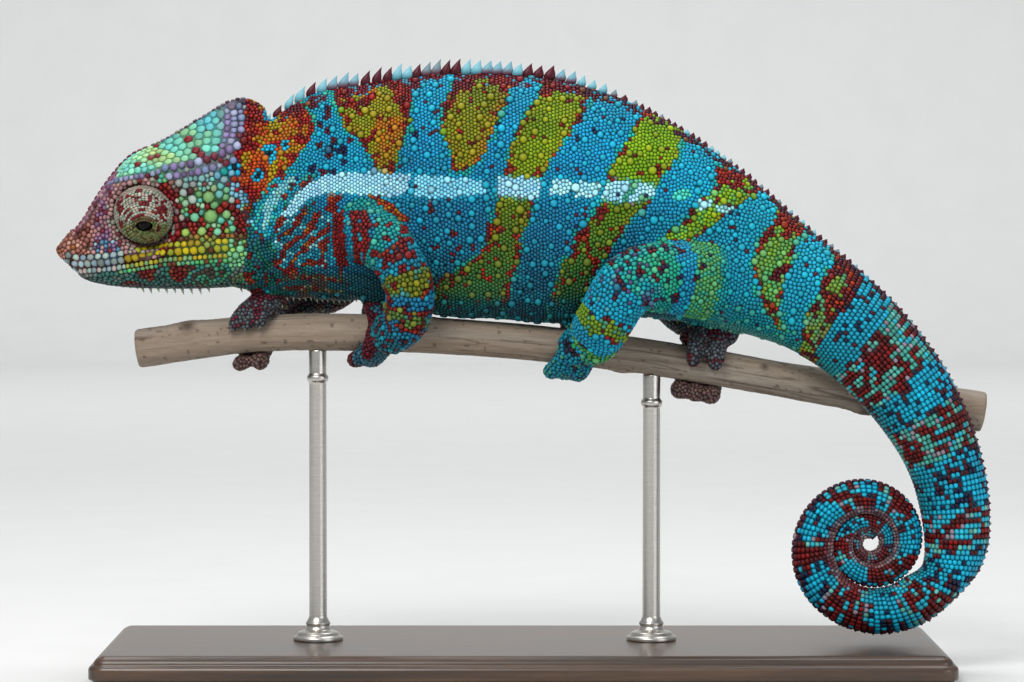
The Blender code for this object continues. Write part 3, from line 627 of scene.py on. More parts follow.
# ------------------------------------------------------------------ colours of the markings
def mix(a, b, w):
    a, b = np.asarray(a, float), np.asarray(b, float)
    return a + (b - a) * np.asarray(w)[..., None]


def span(value, low, high):
    return (value > low) & (value < high)


def put(c, mask, colour):
    """The colours, with another colour where the mask is true."""
    return np.where(mask[:, None], colour, c)


def head_u(lab):
    """Where the points are round the head, from 0 at the roof's middle to 5 under the chin."""
    return 10 * np.minimum(lab["turn"], 1 - lab["turn"])


def folded(p, middle=0.0):
    """The points with the right side laid over the left, so that both get the same pattern."""
    return np.stack([p[:, 0], np.abs(p[:, 1] - middle), p[:, 2]], 1)


def ramp(value, stops):
    """Colour by value through (value, (r, g, b)) stops."""
    at = [v for v, _ in stops]
    return np.stack([np.interp(value, at, [c[k] for _, c in stops]) for k in range(3)], -1)


def pick(chance, *options):
    """One of the colours for each point, by its own random number; options are (share, colour)."""
    out = np.zeros((len(chance), 3))
    start = 0.0
    total = sum(share for share, _ in options)
    for share, colour in options:
        out[chance >= start / total] = colour
        start += share
    return out


def patchy(points, size, seed, rnd):
    """Chances from 0 to 1 that change slowly over the skin, so that like colours lie together."""
    return np.clip(0.5 + 0.62 * noise(points, size, seed) + 0.36 * (rnd - 0.5), 0, 0.999)


def inside_band(rows, x, z, wobble):
    """How far each point lies inside a band, in mm along x; negative outside."""
    table = np.array(sorted(rows))
    front = np.interp(z, table[:, 0], table[:, 1]) - wobble
    rear = np.interp(z, table[:, 0], table[:, 2]) + wobble
    within = np.minimum(x - front, rear - x)
    ends = np.minimum(z - table[0, 0], table[-1, 0] + 4.0 - z) + wobble
    return np.minimum(within, ends)


def mouth_z(x):
    return np.interp(x, [a for a, _ in MOUTH_LINE], [b for _, b in MOUTH_LINE])


def near_line(rows, x, z):
    """Distance to a line of (x, z, half height), and its half height there."""
    line = np.array(rows)
    a, b = line[:-1, :2], line[1:, :2]
    q = np.stack([x, z], 1)[:, None] - a[None]
    t = np.clip(np.sum(q * (b - a), 2) / np.sum((b - a) ** 2, 1), 0, 1)
    off = np.linalg.norm(q - t[..., None] * (b - a), axis=2)
    k = np.argmin(off, 1)
    t = t[np.arange(len(x)), k]
    return off[np.arange(len(x)), k], line[k, 2] * (1 - t) + line[k + 1, 2] * t


PALE_STREAKS = [  # behind the casque: two ends x, z and half height
    ((-86.0, 139.6, 0.6), (-81.0, 135.6, 1.2), (-77.2, 131.0, 0.9)),
    ((-82.6, 139.8, 0.5), (-78.6, 137.2, 0.8)),
    ((-79.0, 129.8, 0.5), (-76.0, 125.6, 0.7)),
]
NECK_SPOTS = [  # dark spots in the blue of the neck and back: x, z, radius
    (-54.3, 156.4, 0.9), (-54.6, 154.6, 0.8), (-58.7, 158.3, 1.3), (-56.3, 152.6, 0.7), (-54.1, 150.7, 1.0),
    (-52.6, 147.8, 0.7), (-53.4, 145.8, 0.8), (-54.2, 143.8, 0.7), (-50.0, 145.2, 1.1), (-56.4, 146.5, 0.8),
    (-48.0, 147.8, 0.5), (-49.5, 142.0, 0.8), (-58.3, 140.3, 0.9), (-55.4, 139.4, 0.8), (-52.6, 139.2, 0.9),
    (-57.5, 138.0, 0.5), (-49.9, 138.6, 0.4), (-62.7, 137.1, 0.5), (-30.9, 147.8, 0.9), (-29.5, 149.4, 0.6),
]
ARM_SPOTS = [  # dark red on the upper arm: x, z, radius
    (-41.0, 125.0, 1.5), (-32.9, 123.3, 1.1), (-37.4, 121.2, 1.0), (-33.2, 119.7, 1.2), (-33.0, 117.6, 0.7),
    (-30.0, 116.5, 0.6), (-37.2, 116.5, 1.3), (-27.7, 113.0, 0.6), (-38.4, 113.5, 1.1), (-32.9, 112.4, 1.1),
    (-36.6, 124.8, 0.5), (-35.2, 114.6, 0.5), (-30.4, 120.4, 0.5),
]
THIGH_SPOTS = [  # dark red on the hind limb: x, z, radius
    (28.2, 116.3, 1.1), (31.0, 117.8, 0.9), (35.4, 117.8, 0.8), (38.7, 118.5, 0.8), (24.3, 114.1, 0.8),
    (31.7, 111.9, 1.25), (38.3, 112.8, 1.2), (35.6, 109.8, 1.0), (41.5, 104.8, 1.0), (33.7, 103.6, 0.8),
    (42.9, 110.4, 0.6), (47.9, 110.9, 0.8), (49.3, 113.1, 0.8), (51.3, 116.4, 0.6), (25.1, 105.7, 0.8),
    (26.0, 110.1, 0.7), (27.3, 112.4, 0.6), (27.3, 107.7, 0.6), (28.8, 106.1, 0.6), (18.6, 99.6, 0.8),
    (22.8, 98.8, 0.8), (26.7, 97.1, 0.6),
]


def shoulder_folds(p, c, rnd):
    """Red and turquoise streaks over the shoulder, upright by the arm and slanting behind the neck."""
    x, z = p[:, 0], p[:, 2]
    fold = folded(p)
    n2, n4 = noise(fold, 2.0, 91), noise(fold, 4.5, 92)
    red = pick(rnd[:, 0], (3, (104, 14, 18)), (2, (84, 12, 18)), (1, (124, 32, 20)))
    blue = pick(rnd[:, 1], (3, (22, 122, 146)), (2, (18, 92, 122)), (1, (64, 154, 168)))
    # upright
    zone = span(x, -53.6, -40.8) & (z > 113.5 + n4) & (z < 128.8 + n2 - 0.03 * (x + 47) ** 2)
    lean = x + 0.08 * (z - 121) + 0.35 * n2
    stripe = span(lean, -52.6, -49.2) | span(lean, -47.0, -44.9) | span(lean, -44.3, -42.0)
    c = put(c, zone, np.where(stripe[:, None], red, blue))
    # slanting
    w = -0.74 * x + 0.67 * z + 1.5 * n4 + 0.5 * n2
    slant = span(x, -68.5 + n2, -54.0 + n2) & (z > 112.5 + n2) & (z < 127.5 + 0.1 * (x + 60) + n2)
    wave = np.sin(2 * np.pi * w / 3.6) + 0.7 * noise(fold, 3.0, 93)
    warm = pick(rnd[:, 0], (4, (98, 20, 16)), (3, (122, 46, 18)), (1.2, (146, 88, 32)), (1.4, (74, 14, 18)))
    pale = pick(rnd[:, 1], (4, (20, 100, 122)), (2, (70, 146, 158)), (1, (136, 184, 188)))
    c = put(c, slant, np.where((wave > 0.04)[:, None], warm, pale))
    # orange above the arm's root
    d = np.hypot((x + 37.0) / 5.2, (z - 129.4 + 0.6 * (x + 37.0)) / 1.4) + 0.25 * n2
    patch = pick(rnd[:, 0], (3, (146, 62, 20)), (2, (150, 104, 38)), (3, (98, 18, 18)))
    return put(c, d < 1, patch)


def tail_dashes(s, turn, girth, seed):
    """Runs of scales along the tail's rows, from -1 to 1."""
    row = np.searchsorted(TAIL_ROWS, s + 0.3)
    arc = turn * girth
    thin = noise(np.stack([row * 7.3, arc, 0 * arc], 1), 2.6, seed)
    wide = noise(np.stack([s * 0.9, arc, 0 * arc + 50], 1), 4.2, seed + 1)
    return 0.72 * thin + 0.5 * wide


def body_ground(x, z, s, h, fold, rnd, **_):
    """Blue and turquoise, by height on the body and distance along it."""
    # Darker towards the belly: partly the deeper blue of the lower flank, and partly painted shade under the
    # body.
    c = ramp(h, [(0.0, (10, 52, 60)), (0.10, (6, 68, 86)), (0.30, (3, 94, 124)),
                 (0.55, (4, 124, 164)), (0.8, (8, 148, 190)), (1.0, (26, 152, 184))])
    c = mix(c, (16, 150, 168), 0.35 * smooth(noise(fold, 3.4, 13)) + 0.25 * (rnd[:, 0] < 0.3))
    teal = ramp(h,
                [(0.0, (46, 120, 122)), (0.2, (34, 132, 152)), (0.5, (34, 150, 178)), (1.0, (50, 164, 190))])
    c = mix(c, teal, smooth((s - 105) / 50))
    tail = ramp(h,
                [(0.0, (64, 120, 132)), (0.2, (44, 146, 172)), (0.6, (52, 170, 200)), (1.0, (44, 148, 180))])
    c = mix(c, tail, smooth((s - 185) / 30))
    return mix(c, (26, 156, 180), 0.35 * smooth((-36 - x) / 10) * (z > 133))


def neck_and_chest(c, x, z, s, h, fold, rnd, n3, n5, n12, off, half, **_):
    """Green and red on the throat, arcs under the stripe, and lines along the lower chest."""
    low_neck = smooth((30 - s) / 8) * smooth((0.66 - h) / 0.14)
    throat = pick(patchy(fold, 1.9, 51, rnd[:, 0]), (2.4, (84, 26, 22)), (4, (24, 88, 94)), (3, (34, 94, 76)),
                  (2.4, (22, 50, 52)))
    c = mix(c, throat, low_neck * (rnd[:, 1] < 0.85))
    red_patch = (s < 34) & (h < 0.6) & (n3 > 0.22)
    c = put(c, red_patch, pick(rnd[:, 0], (3, (98, 26, 20)), (1, (140, 60, 26))))
    # arcs under the stripe, and lines along the lower chest
    under_line = span(x, -66, -36) & (off - half > 1.2) & (z < 135) & (z > 123)
    arcs = under_line & (np.sin(2 * np.pi * (off - half + 0.5 * n5) / 3.4) > 0.5) & (n3 > -0.35)
    c = put(c, arcs, pick(rnd[:, 0], (4, (84, 18, 24)), (1, (120, 40, 24))))
    # Darker low on the chest: partly its own darker tone, and partly painted shade under the body behind the
    # arm.
    chest_low = span(s, 18, 62) & (z < 111)
    c = put(c, chest_low, mix(c, (18, 62, 66), 0.55))
    lines = chest_low & (np.sin(2 * np.pi * (z / 3.4 + n12 * 0.5)) > 0.3) & (n5 > -0.25) & (x < -48)
    return put(c, lines, pick(rnd[:, 0], (3, (88, 24, 20)), (2, (46, 66, 48)), (1, (104, 100, 76))))


BAND_LOOKS = {  # inner colour, second, border, its width, chance of red inside, reach of red from the back
    "neck": ((176, 78, 22), (150, 138, 40), (132, 26, 12), 3.0, 0.32, 0.0),
    "shoulder": ((126, 138, 36), (164, 104, 26), (118, 24, 14), 2.2, 0.05, 5.5),
    "chest": ((112, 126, 34), (130, 134, 42), (108, 20, 18), 1.7, 0.04, 4.8),
    "belly": ((110, 136, 44), (128, 146, 54), (112, 32, 18), 1.1, 0.06, 4.2),
    "loin": ((112, 150, 46), (128, 162, 62), (112, 28, 20), 0.8, 0.06, 2.8),
    "hip": ((116, 156, 60), (132, 168, 68), (112, 26, 22), 0.8, 0.10, 1.8),
    "rump": ((98, 150, 84), (120, 152, 68), (104, 24, 22), 1.0, 0.16, 1.5),
    "root": ((108, 142, 70), (88, 142, 114), (92, 18, 20), 1.8, 0.38, 3.0),
}


def body_bands(c, x, z, s, fold, rnd, n5, wobble, **_):
    """Green and orange bands with red borders and a green fringe, and red dots under the chest's band."""
    clump = noise(fold, 1.7, 8)
    for name, rows in BANDS.items():
        main, second, border, width, red, top_red = BAND_LOOKS[name]
        d = inside_band(rows, x, z, wobble)
        within = (d > 0) & (s < 200)
        inner = mix(main, second, smooth(0.5 + n5 * 0.9) * (rnd[:, 0] < 0.8))
        lower = z < 131
        if name in ("belly", "loin"):
            # Darker towards the bottom: partly the olive of the lower flank, and partly painted shade low on
            # the belly by the branch.
            olive = ramp(z,
                         [(98, (8, 50, 56)), (107, (24, 70, 58)), (114, (44, 90, 54)), (128, (78, 108, 46))])
            inner = put(inner, lower, mix(inner, olive, 0.72))
            width_here = np.where(lower, width + 0.8, width)
            red_here = np.where(lower, 0.15, red)
        else:
            width_here, red_here = width, red
        if name in ("hip", "rump"):
            inner = mix(inner, (70, 160, 130), 0.35 * (rnd[:, 1] < 0.4))
        edge = np.exp(-np.maximum(d, 0) / np.maximum(width_here, 0.1))
        back = np.exp(-np.maximum(rows[0][0] - z, 0) / max(top_red, 0.1)) if top_red else 0.0
        chance = np.clip(red_here + 0.8 * edge * (0.35 + 0.65 * (clump > -0.15)) + 0.85 * back, 0, 0.97)
        is_red = np.clip(0.5 + 0.85 * clump, 0, 1) * 0.92 + rnd[:, 1] * 0.08 < chance * 0.94
        is_red &= rnd[:, 1] > 0.35 * smooth((104 - z) / 6)
        warm = np.clip(edge * 1.2, 0, 1) * (rnd[:, 2] < 0.6)
        inner = mix(inner, (172, 92, 26), warm * (0.75 if name in ("neck", "shoulder", "chest") else 0.4))
        redness = pick(rnd[:, 2], (3, border), (2, (border[0] * 0.66, border[1] * 0.7, border[2])),
                       (1, (142, 52, 22)))
        inner = put(inner, is_red, redness)
        inner = mix(inner, c, smooth((106.5 - z) / 6) * 0.85 * (s < 125) * (s > 45))
        c = put(c, within, inner)
        # a green fringe where blue meets a band
        fringe = (d <= 0) & (d > -1.1) & (rnd[:, 1] < 0.55) & (s < 175)
        c = put(c, fringe & ~within, mix(c, (84, 158, 116), 0.55))
    dots = span(x, -26, -9) & span(z, 114, 134) & (noise(fold, 2.0, 9) > 0.42)
    return put(c, dots, (84, 20, 26))


def flank_stripe(c, x, z, s, rnd, n3, off, half, **_):
    """Small blue rings with a dark middle on the neck, and the pale stripes of neck and flank."""
    for ox, oz, size in ((-70.2, 144.4, 2.3), (-80.1, 140.6, 1.7), (-73.6, 138.2, 1.6), (-70.6, 155.4, 2.2),
                         (-66.1, 146.6, 1.1)):
        d = np.hypot(x - ox, (z - oz) * 0.8) + n3 * 0.5
        c = put(c, d < size, (58, 160, 190))
        c = put(c, d < size * 0.42, (10, 18, 32))
    # pale stripe
    off = off + n3 * 0.45
    lean_x = x - 0.42 * (z - 134.5)
    gap = np.zeros(len(x), bool)
    for place, wide in STRIPE_GAPS:
        gap |= np.abs(lean_x - place - n3 * 0.5) < wide * 0.8
    on = (off < half) & (s < 130)
    pale = pick(rnd[:, 0], (3, (172, 226, 250)), (2, (180, 230, 250)), (1, (160, 218, 248)))
    pale = mix(pale, (122, 210, 240), 0.5 * span(x, -31, -9))
    c = put(c, on & ~gap, pale)
    c = put(c, on & gap, mix(c, (60, 160, 190), 0.6))
    rim = (off >= half) & (off < half + 1.0) & (s < 130) & (rnd[:, 1] < 0.6)
    c = put(c, rim, mix(c, (90, 180, 204), 0.5))
    for ox, oz, tone in ((49.6, 130.2, (168, 222, 232)), (55.6, 129.0, (162, 220, 222)),
                         (44.0, 132.8, (104, 206, 188))):
        d = np.hypot((x - ox) * 0.62 - (z - oz) * 0.3, z - oz)
        c = put(c, d < 1.5, tone)
    far, wide = near_line(STRIPE_FRONT, x, z)
    second = (far + 0.4 * n3 < wide) & (s < 60)
    c = put(c, second, pick(rnd[:, 0], (3, (138, 196, 204)), (2, (112, 182, 196)), (1, (150, 200, 186))))
    between = (far < wide + 2.2) & ~second & (off > half) & (x < -60) & (rnd[:, 1] < 0.7)
    return put(c, between, pick(rnd[:, 0], (3, (44, 146, 168)), (1, (80, 170, 160))))


def tail_rings(c, s, h, fold, rnd, wobble, turn, **_):
    """Dark red rings with turquoise specks, and dark flecks between them."""
    swing = s + wobble * 1.4 + (h - 0.5) * 3.0
    depth = np.full(len(s), -9.0)
    for first, last in TAIL_RED:
        depth = np.maximum(depth, np.minimum(swing - first, last - swing))
    ring = (depth > 0) & (s > 184)
    girth = np.interp(s, [175, 240, 300, 380, 430], [105, 66, 46, 24, 10])
    dash = tail_dashes(s, turn, girth, 14)
    near_edge = 0.4 * np.exp(-np.maximum(depth, 0) / 1.6)
    speck = dash > 0.24 - near_edge - 0.14 * smooth((s - 190) / 20) * smooth((300 - s) / 20)
    speck |= (noise(fold, 1.9, 20) > 0.24) & (s < 214)
    dark = pick(rnd[:, 0], (4, (92, 16, 18)), (3, (70, 12, 18)), (2, (112, 26, 24)))
    bright = pick(rnd[:, 2], (4, (76, 168, 190)), (1, (140, 128, 140)), (1, (110, 170, 160)))
    bright = mix(bright, (96, 140, 96), 0.5 * ((s < 232) & (rnd[:, 2] < 0.5)))
    dark = put(dark, ring & speck, bright)
    c = put(c, ring, dark)
    outside = ~ring & (s > 190)
    fleck = outside & (tail_dashes(s, turn, girth, 16) > 0.50 - 0.45 * np.exp(np.minimum(depth, 0) / 1.4))
    fleck |= outside & (noise(fold, 1.25, 19) > 0.62)
    fleck |= ~ring & (s > 178) & (rnd[:, 1] < 0.11)
    c = put(c, fleck, pick(rnd[:, 0], (3, (18, 24, 52)), (2, (66, 14, 26))))
    c = mix(c, (92, 74, 80), 0.45 * smooth((s - 384) / 30))
    inner_edge = smooth((s - 285) / 20) * smooth((0.26 - h) / 0.12)
    return mix(c, pick(rnd[:, 0], (2, (150, 124, 124)), (1, (122, 96, 100)), (1, (98, 60, 66))),
               inner_edge * 0.85)


def dark_spots(c, x, z, s, h, fold, rnd, n3, **_):
    """Dark spots of a scale or three, most in the neck's blue, and the dark line of the back."""
    blueish = (c[:, 2] > c[:, 0] + 20) & (s < 190)
    limit = np.full(len(s), 0.80)
    limit = np.where(z > 148, 0.52, limit)
    limit = np.where((z < 133) & (x > -22) & (z > 114), 0.68, limit)
    limit = np.where(s > 105, 0.72, limit)
    limit = np.where((x < -40) & (z > 137), 0.76, limit)
    spots = blueish & (noise(fold, 1.3, 12) + 0.12 * (rnd[:, 2] - 0.5) > limit)
    for ox, oz, size in NECK_SPOTS:
        spots |= blueish & (np.hypot(x - ox, z - oz) + 0.3 * n3 < size + 0.25)
    c = put(c, spots, pick(noise(fold, 3.0, 15) * 0.5 + 0.5, (3, (74, 14, 30)), (2, (22, 24, 56))))
    ridge = (h > 0.955) & (s > 100)
    c = put(c, ridge & (rnd[:, 1] < 0.66), pick(rnd[:, 0], (3, (70, 20, 34)), (2, (48, 22, 44))))
    top = (h > 0.945) & (s <= 100) & (s > 14) & (noise(fold, 2.4, 18) > -0.05)
    c = put(c, top, pick(rnd[:, 0], (3, (88, 20, 34)), (1, (80, 130, 150))))
    # the vent side stays pale
    under = smooth((s - 135) / 10) * smooth((176 - s) / 10) * smooth((0.10 - h) / 0.08)
    return mix(c, (104, 150, 140), under * 0.6)


def body_colours(p, lab, rnd):
    x, z, s = p[:, 0], p[:, 2], lab["along"]
    row = BODY.at(s)
    up = np.stack([row[:, 0] - row[:, 2], row[:, 1] - row[:, 3]], 1)
    height = np.linalg.norm(up, axis=1)
    h = ((x - row[:, 2]) * up[:, 0] + (z - row[:, 3]) * up[:, 1]) / height**2
    fold = folded(p, row[:, 5])
    n3, n5, n12 = (noise(fold, size, seed) for size, seed in ((2.6, 1), (5.0, 2), (12.0, 3)))
    wobble = noise(fold, 2.2, 4) * 0.9 + noise(fold, 6.0, 5) * 0.8
    off, half = near_line(STRIPE, x, z)
    q = dict(x=x, z=z, s=s, h=h, fold=fold, rnd=rnd, n3=n3, n5=n5, n12=n12, wobble=wobble, off=off, half=half,
             turn=lab["turn"])
    c = body_ground(**q)
    for layer in (neck_and_chest, body_bands, flank_stripe, tail_rings, dark_spots):
        c = layer(c, **q)
    return c * (1 + 0.08 * n12 + 0.05 * n5)[:, None]


def head_colours(p, lab, rnd):
    """Temples, casque, snout, the ring round the eye, jaw and throat."""
    x, z = p[:, 0], p[:, 2]
    fold = folded(p)
    u = head_u(lab)
    n2, n4 = noise(fold, 2.1, 21), noise(fold, 4.2, 22)
    # temples and cheeks
    green = pick(rnd[:, 0], (3, (112, 160, 112)), (2, (92, 158, 140)), (2, (146, 178, 150)),
                 (1, (132, 156, 84)))
    red = pick(rnd[:, 0], (3, (96, 20, 18)), (2, (126, 38, 20)), (1, (66, 16, 20)))
    c = np.where((n2 > -0.08)[:, None], red, green)
    upper = smooth((z - 133) / 3) * smooth((x + 99) / 3)
    c = mix(c, pick(rnd[:, 1], (3, (150, 176, 176)), (2, (128, 196, 196)), (1, (110, 40, 44))), upper * 0.8)
    low_cheek = smooth((122.5 - z) / 2) * smooth((x + 101) / 3)
    c = mix(c, pick(rnd[:, 1], (3, (116, 154, 92)), (2, (140, 158, 84)), (1, (72, 48, 30))), low_cheek * 0.85)
    # roof and casque
    brow = np.interp(x, *zip(*BROW))
    roof = ((u < 1.02) | ((z > brow) & (x < -96.5))) & (x > -116.0)
    tone = noise(fold, 5.5, 23) + 0.35 * noise(fold, 2.4, 24) + 0.25 * (rnd[:, 0] - 0.5)
    plates = ramp(tone, [(-0.6, (106, 176, 182)), (-0.2, (118, 186, 170)), (0.1, (132, 186, 152)),
                         (0.4, (154, 186, 134)), (0.7, (172, 186, 128))])
    front_plates = ramp(tone, [(-0.6, (118, 186, 196)), (0.0, (132, 202, 184)), (0.5, (158, 206, 162))])
    plates = mix(front_plates, plates, smooth((x + 107) / 6))
    spots = noise(fold, 1.7, 25) > 0.5
    plates = put(plates, spots, pick(rnd[:, 1], (2, (104, 26, 30)), (1, (128, 50, 52))))
    rear = smooth((x + 85.5) / 3.0) * (z > 146)
    plates = mix(plates, pick(rnd[:, 0], (3, (132, 128, 152)), (2, (104, 84, 112)), (1, (150, 156, 170))),
                 rear * 0.85)
    plates = mix(plates, (130, 130, 150), 0.6 * smooth((u - 0.82) / 0.15) * (x > -101))
    plates = put(plates, (rear > 0.3) & (rnd[:, 2] < 0.3), (34, 30, 62))
    c = put(c, roof, plates)
    # between snout and eye
    lore = smooth((-110.5 - x) / 2.0) * ~roof
    c = mix(c, pick(patchy(fold, 1.6, 52, rnd[:, 0]), (2, (176, 138, 134)), (3, (150, 112, 122)),
                    (2, (126, 98, 128)), (1.6, (104, 38, 46))), lore)
    blue_lore = span(x, -121, -111) & span(z, 115.2, 120) & (rnd[:, 1] < 0.6)
    c = put(c, blue_lore, pick(rnd[:, 0], (2, (92, 128, 156)), (1, (150, 176, 188)), (1, (70, 60, 96))))
    canthus = (x <= -113) & (u < 0.95)
    c = put(c, canthus, pick(patchy(fold, 1.5, 54, rnd[:, 0]), (1.2, (170, 130, 140)), (3, (142, 98, 124)),
                             (2, (120, 62, 82))))
    snout = smooth((-118.5 - x) / 2.5)
    wart = ramp(noise(fold, 1.9, 26) + 0.3 * (rnd[:, 0] - 0.5),
                [(-0.5, (96, 52, 46)), (-0.1, (142, 94, 84)), (0.2, (164, 116, 104)), (0.6, (184, 142, 126))])
    wart = put(wart, rnd[:, 1] < 0.14, (150, 92, 56))
    c = mix(c, wart, snout)
    # ring round the eye
    for side in (-1, 1):
        q = p - eye_centre(side)
        g = gaze(side)
        r = np.linalg.norm(q - (q @ g)[:, None] * g, axis=1)
        ring = (r < 10.4) & (q @ g > -3) & (np.sign(p[:, 1]) == side)
        tone = pick(rnd[:, 0], (3, (168, 132, 132)), (2, (150, 150, 140)), (1, (112, 44, 44)))
        tone = put(tone, (x > -100.5) & (rnd[:, 1] < 0.6), (122, 30, 34))
        c = put(c, ring, tone)
        c = put(c, ring & (r < 8.6), (128, 100, 96))
    # lower jaw and throat
    below = z < mouth_z(x) - 0.1
    jaw = pick(patchy(fold, 1.7, 53, rnd[:, 0]), (2, (94, 108, 104)), (3, (62, 104, 96)), (3, (48, 78, 74)),
               (1.4, (34, 44, 46)))
    jaw = put(jaw, (n4 > 0.05) & (x > -112), pick(rnd[:, 0], (3, (94, 26, 24)), (1, (120, 60, 40))))
    jaw = put(jaw, x > -93,
              mix(jaw, pick(rnd[:, 1], (2, (88, 164, 120)), (1, (70, 140, 140)), (1, (80, 26, 22))), 0.6))
    front = smooth((-117.5 - x) / 3)
    jaw = mix(jaw, pick(rnd[:, 0], (3, (176, 158, 154)), (2, (132, 150, 156)), (1, (110, 92, 92))),
              front * smooth((z - 109) / 2.5))
    c = put(c, below, jaw)
    # Painted shade: the underside of the jaw and throat is mixed dark, with some dark red among it.
    deep = smooth((u - 3.9) / 0.5) * below
    c = mix(c, pick(rnd[:, 0], (3, (26, 70, 66)), (2, (26, 40, 42)), (1, (60, 24, 24))), deep * 0.9)
    corner = np.hypot(x + 80.5, z - 117) < 4.2
    c = put(c, corner & (rnd[:, 1] < 0.8), pick(rnd[:, 0], (3, (126, 184, 140)), (1, (150, 190, 110))))
    return c * (1 + 0.05 * n4)[:, None]


def forelimb(t, p, rnd, red, n2, n6, **_):
    """Turquoise with dark red spots, a green elbow and a banded wrist."""
    c = ramp(t, [(0.0, (20, 104, 124)), (0.3, (30, 122, 138)), (0.6, (22, 112, 138)), (0.72, (14, 104, 144)),
                 (0.9, (30, 94, 108))])
    c = put(c, (n6 > 0.1) & (t < 0.6), mix(c, (70, 146, 130), 0.5))
    # More red spots towards the arm's front edge low down: the arm's own red, and partly painted shade on
    # that edge.
    patch = noise(p, 2.7, 35)
    front = smooth((-38 - p[:, 0]) / 5)
    spots = (patch > np.where(p[:, 2] < 119.5, 0.5 - 0.5 * front, 0.62)) & (t < 0.5)
    for ox, oz, size in ARM_SPOTS:
        spots |= np.hypot(p[:, 0] - ox, p[:, 2] - oz) + 0.35 * n2 < size + 0.25
    c = put(c, spots & (t < 0.54), red)
    elbow = span(t, 0.535, 0.64)
    warm = pick(rnd[:, 0], (3, (98, 108, 46)), (1, (70, 124, 104)))
    warm = put(warm, patch > 0.06, pick(rnd[:, 0], (3, (96, 18, 18)), (1, (122, 50, 26))))
    c = put(c, elbow, warm)
    dash = (span(t, 0.70, 0.725) | span(t, 0.77, 0.795)) & (n2 > -0.3)
    c = put(c, dash, red)
    band = (t >= 0.725) & (t < 0.77)
    c = put(c, band, pick(rnd[:, 0], (3, (84, 112, 62)), (1, (60, 110, 100)), (1, (84, 26, 22))))
    spots = (t >= 0.66) & ((noise(p, 1.5, 36) > 0.34) | ((t > 0.79) & (rnd[:, 1] < 0.12)))
    return put(c, spots, pick(rnd[:, 0], (1, (22, 26, 46)), (1.4, (80, 18, 26))))


def hindlimb(t, p, rnd, red, n2, n6, **_):
    """Turquoise with dark red spots and green bands."""
    c = ramp(t, [(0.0, (34, 132, 150)), (0.2, (40, 138, 144)), (0.42, (44, 140, 140)),
                 (0.55, (40, 142, 138)), (0.68, (30, 146, 172)), (0.9, (26, 146, 178))])
    c = mix(c, (84, 156, 108), 0.6 * smooth(n6 + 0.3) * (t > 0.47) * (t < 0.66))
    green = span(t, 0.285, 0.395)
    c = put(c, green, mix(c, pick(rnd[:, 0], (3, (108, 156, 82)), (2, (80, 150, 116))), 0.72))
    blue = span(t, 0.395, 0.47)
    c = put(c, blue, pick(rnd[:, 0], (3, (22, 130, 166)), (1, (44, 150, 176))))
    top = smooth((p[:, 2] - 113.2) / 2) * (p[:, 0] < 45) * (p[:, 0] > 20)
    level = np.where(span(t, 0.4, 0.78), 0.74, 0.84) - 0.34 * top
    spots = (noise(p, 1.55, 34) > level) & (t < 0.8) & (t > 0.22)
    for ox, oz, size in THIGH_SPOTS:
        spots |= np.hypot(p[:, 0] - ox, p[:, 2] - oz) + 0.35 * n2 < size + 0.25
    c = put(c, spots, pick(rnd[:, 0], (3, (80, 14, 24)), (2, (32, 24, 52))))
    knee = span(t, 0.56, 0.76) & (rnd[:, 1] < 0.16)
    c = put(c, knee, pick(rnd[:, 0], (2, (70, 70, 104)), (1, (84, 150, 160))))
    band = span(t, 0.795, 0.85)
    c = put(c, band, pick(rnd[:, 0], (4, (112, 142, 64)), (1, (80, 140, 116))))
    c = put(c, band & (n2 > 0.3), red)
    thin = span(t, 0.925, 0.985)
    c = put(c, thin, pick(rnd[:, 0], (4, (84, 142, 84)), (1, (60, 140, 130))))
    rows = (t > 0.87) & (np.sin(2 * np.pi * t / 0.034) > 0.1) & (n2 > 0.1) & (t > 0.92)
    return put(c, rows, pick(rnd[:, 0], (2, (20, 22, 44)), (1, (66, 18, 28))))


def palm_colours(name, p, foot, rnd, n2, n3, **_):
    """The hands and feet: the two nearest the eye have their own colours, and the far ones are dark and dull,
    partly their own purple-grey and partly painted shade of the far side.
    """
    if name == "fore_left":
        palm = pick(rnd[:, 0], (3, (64, 104, 122)), (2, (40, 84, 98)), (1, (96, 104, 112)))
        palm = put(palm, n3 > -0.05, pick(rnd[:, 1], (3, (88, 22, 34)), (2, (66, 20, 34))))
        palm = put(palm, p[:, 1] > 0, pick(rnd[:, 0], (2, (120, 102, 100)), (1, (90, 70, 74))))
    elif name == "hind_left":
        palm = pick(rnd[:, 0], (4, (22, 130, 150)), (2, (30, 110, 132)), (1, (74, 140, 120)),
                    (0.5, (44, 40, 60)))
        palm = put(palm, n2 > 0.5, pick(rnd[:, 0], (2, (30, 28, 48)), (1, (70, 30, 44))))
        palm = put(palm, p[:, 1] > 1, pick(rnd[:, 0], (2, (128, 104, 104)), (1, (96, 78, 84))))
    else:
        # The far hands and feet: dark and dull, partly painted shade on the far side of the body.
        palm = pick(rnd[:, 0], (3, (70, 58, 62)), (2, (50, 52, 56)), (1, (84, 96, 104)))
        palm = put(palm, n3 > 0.0, pick(rnd[:, 0], (2, (86, 30, 42)), (1, (66, 26, 36))))
        lower = p[:, 2] < BRANCH.at(branch_s(p[:, 0]))[:, 2] - 2
        palm = put(palm, lower, pick(rnd[:, 0], (2, (112, 88, 84)), (1, (92, 72, 72)), (1, (98, 80, 72))))
        tips = (foot == 2) & ~lower
        palm = put(palm, tips & (rnd[:, 1] < 0.5), (78, 82, 86))
    return palm


